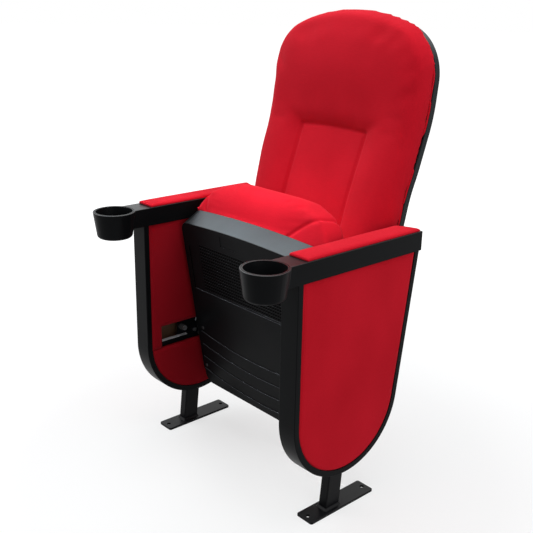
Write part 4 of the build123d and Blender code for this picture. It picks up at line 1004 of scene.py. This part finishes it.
# ---- stage ----
class SEAT_OT_stage(bpy.types.Operator):
    """Pale floor, soft studio light and the camera"""

    bl_idname = "seat.stage"
    bl_label = "Stage"

    def execute(self, context):
        scene = context.scene
        scene.view_settings.view_transform = "Standard"
        mesh = bmesh.new()
        bmesh.ops.create_circle(mesh, cap_ends=True, segments=96, radius=30)
        data = bpy.data.meshes.new("floor")
        mesh.to_mesh(data)
        mesh.free()
        floor = bpy.data.objects.new("floor", data)
        scene.collection.objects.link(floor)
        data.materials.append(floor_finish())
        self.light_world(scene)
        lamps = {lamp[0]: self.area(*lamp) for lamp in LAMPS}
        lamps["softbox"].visible_diffuse = False
        lamps["focus"].data.spread = radians(FOCUS_SPREAD)
        lamps["focus"].visible_glossy = False
        self.camera(scene)
        return {"FINISHED"}

    @staticmethod
    def area(name, place, target, size, power, colour):
        """A square lamp that faces its target."""
        lamp = bpy.data.lights.new(name, "AREA")
        lamp.size = size
        lamp.energy = power
        lamp.color = colour
        lamp_object = bpy.data.objects.new(name, lamp)
        lamp_object.location = place
        lamp_object.rotation_euler = (Vector(target) - Vector(place)).to_track_quat("-Z", "Y").to_euler()
        bpy.context.scene.collection.objects.link(lamp_object)
        return lamp_object

    @staticmethod
    def light_world(scene):
        """Soft light from all round, which looks white where it is seen directly."""
        world = scene.world or bpy.data.worlds.new("studio")
        scene.world = world
        world.use_nodes = True
        tree = world.node_tree
        tree.nodes.clear()
        soft = tree.nodes.new("ShaderNodeBackground")
        soft.inputs["Color"].default_value = (0.95, 0.975, 1.0, 1)
        soft.inputs["Strength"].default_value = 0.27
        white = tree.nodes.new("ShaderNodeBackground")
        white.inputs["Color"].default_value = (1, 1, 1, 1)
        white.inputs["Strength"].default_value = 1.0
        mix = tree.nodes.new("ShaderNodeMixShader")
        output = tree.nodes.new("ShaderNodeOutputWorld")
        tree.links.new(seen_directly(tree), mix.inputs[0])
        tree.links.new(soft.outputs[0], mix.inputs[1])
        tree.links.new(white.outputs[0], mix.inputs[2])
        tree.links.new(mix.outputs[0], output.inputs["Surface"])

    @staticmethod
    def camera(scene):
        """The photo's camera."""
        lens = bpy.data.cameras.new("camera")
        lens.sensor_width = SENSOR_WIDTH
        lens.lens = FOCAL_SHARE * SENSOR_WIDTH
        lens.clip_start, lens.clip_end = 0.05, 100
        camera = bpy.data.objects.new("camera", lens)
        yaw, pitch, roll = CAMERA_TURN
        ahead = Vector((-sin(yaw) * cos(pitch), cos(yaw) * cos(pitch), -sin(pitch)))
        right = Vector((cos(yaw), sin(yaw), 0))
        above = right.cross(ahead)
        right, above = (cos(roll) * right + sin(roll) * above, cos(roll) * above - sin(roll) * right)
        axes = Matrix((right, above, -ahead)).transposed().to_4x4()
        camera.matrix_world = Matrix.Translation(CAMERA_PLACE) @ axes
        scene.collection.objects.link(camera)
        scene.camera = camera


def seen_directly(tree):
    """1 for camera, glossy and transmission rays, which see the pale background."""
    paths = tree.nodes.new("ShaderNodeLightPath")
    total = paths.outputs["Is Camera Ray"]
    for name in ("Is Glossy Ray", "Is Transmission Ray"):
        either = tree.nodes.new("ShaderNodeMath")
        either.operation = "MAXIMUM"
        tree.links.new(total, either.inputs[0])
        tree.links.new(paths.outputs[name], either.inputs[1])
        total = either.outputs[0]
    return total


def floor_finish():
    """Pale floor that shows white to the camera and keeps the seat's shadow."""
    material = bpy.data.materials.new("pale_floor")
    material.use_nodes = True
    tree = material.node_tree
    tree.nodes.clear()
    plain = tree.nodes.new("ShaderNodeBsdfDiffuse")
    plain.inputs["Color"].default_value = (0.30, 0.30, 0.30, 1)
    shadowed = tree.nodes.new("ShaderNodeBsdfDiffuse")
    shadowed.inputs["Color"].default_value = (0.34, 0.34, 0.34, 1)
    where = tree.nodes.new("ShaderNodeTexCoord")
    far = tree.nodes.new("ShaderNodeVectorMath")
    far.operation = "LENGTH"
    fade = tree.nodes.new("ShaderNodeMapRange")
    fade.inputs["From Min"].default_value = 0.6
    fade.inputs["From Max"].default_value = 2.4
    fade.inputs["To Min"].default_value = 0.66
    fade.inputs["To Max"].default_value = 1.0
    tree.links.new(where.outputs["Object"], far.inputs[0])
    tree.links.new(far.outputs["Value"], fade.inputs["Value"])
    glow = tree.nodes.new("ShaderNodeEmission")
    tree.links.new(fade.outputs["Result"], glow.inputs["Strength"])
    sum_up = tree.nodes.new("ShaderNodeAddShader")
    mix = tree.nodes.new("ShaderNodeMixShader")
    output = tree.nodes.new("ShaderNodeOutputMaterial")
    tree.links.new(shadowed.outputs[0], sum_up.inputs[0])
    tree.links.new(glow.outputs[0], sum_up.inputs[1])
    tree.links.new(seen_directly(tree), mix.inputs[0])
    tree.links.new(plain.outputs[0], mix.inputs[1])
    tree.links.new(sum_up.outputs[0], mix.inputs[2])
    tree.links.new(mix.outputs[0], output.inputs["Surface"])
    return material


# ---- panel and registration ----
OPERATORS = (
    SEAT_OT_stage, SEAT_OT_finishes, SEAT_OT_cushion, SEAT_OT_back, SEAT_OT_welt,
    SEAT_OT_arm_pads, SEAT_OT_side_panels, SEAT_OT_tray, SEAT_OT_vents,
)


class SEAT_PT_build(bpy.types.Panel):
    """Lists the seat's pieces"""

    bl_label = "Auditorium seat"
    bl_idname = "SEAT_PT_build"
    bl_space_type = "VIEW_3D"
    bl_region_type = "UI"
    bl_category = "Seat"

    def draw(self, context):
        for operator in OPERATORS:
            self.layout.operator(operator.bl_idname)
        for name in SeatSizes.__annotations__:
            self.layout.prop(context.scene.seat_sizes, name)
        for name in SeatColours.__annotations__:
            self.layout.prop(context.scene.seat_colours, name)


CLASSES = (SeatSizes, SeatColours, *OPERATORS, SEAT_PT_build)


def register():
    for cls in CLASSES:
        bpy.utils.register_class(cls)
    bpy.types.Scene.seat_sizes = PointerProperty(type=SeatSizes)
    bpy.types.Scene.seat_colours = PointerProperty(type=SeatColours)


def unregister():
    del bpy.types.Scene.seat_colours
    del bpy.types.Scene.seat_sizes
    for cls in reversed(CLASSES):
        bpy.utils.unregister_class(cls)


def main():
    register()
    bpy.ops.seat.stage()
    bpy.ops.seat.finishes()
    bpy.ops.seat.cushion()
    bpy.ops.seat.back()
    bpy.ops.seat.welt()
    bpy.ops.seat.arm_pads()
    bpy.ops.seat.side_panels()
    bpy.ops.seat.tray()
    bpy.ops.seat.vents()


if __name__ == "__main__":
    main()
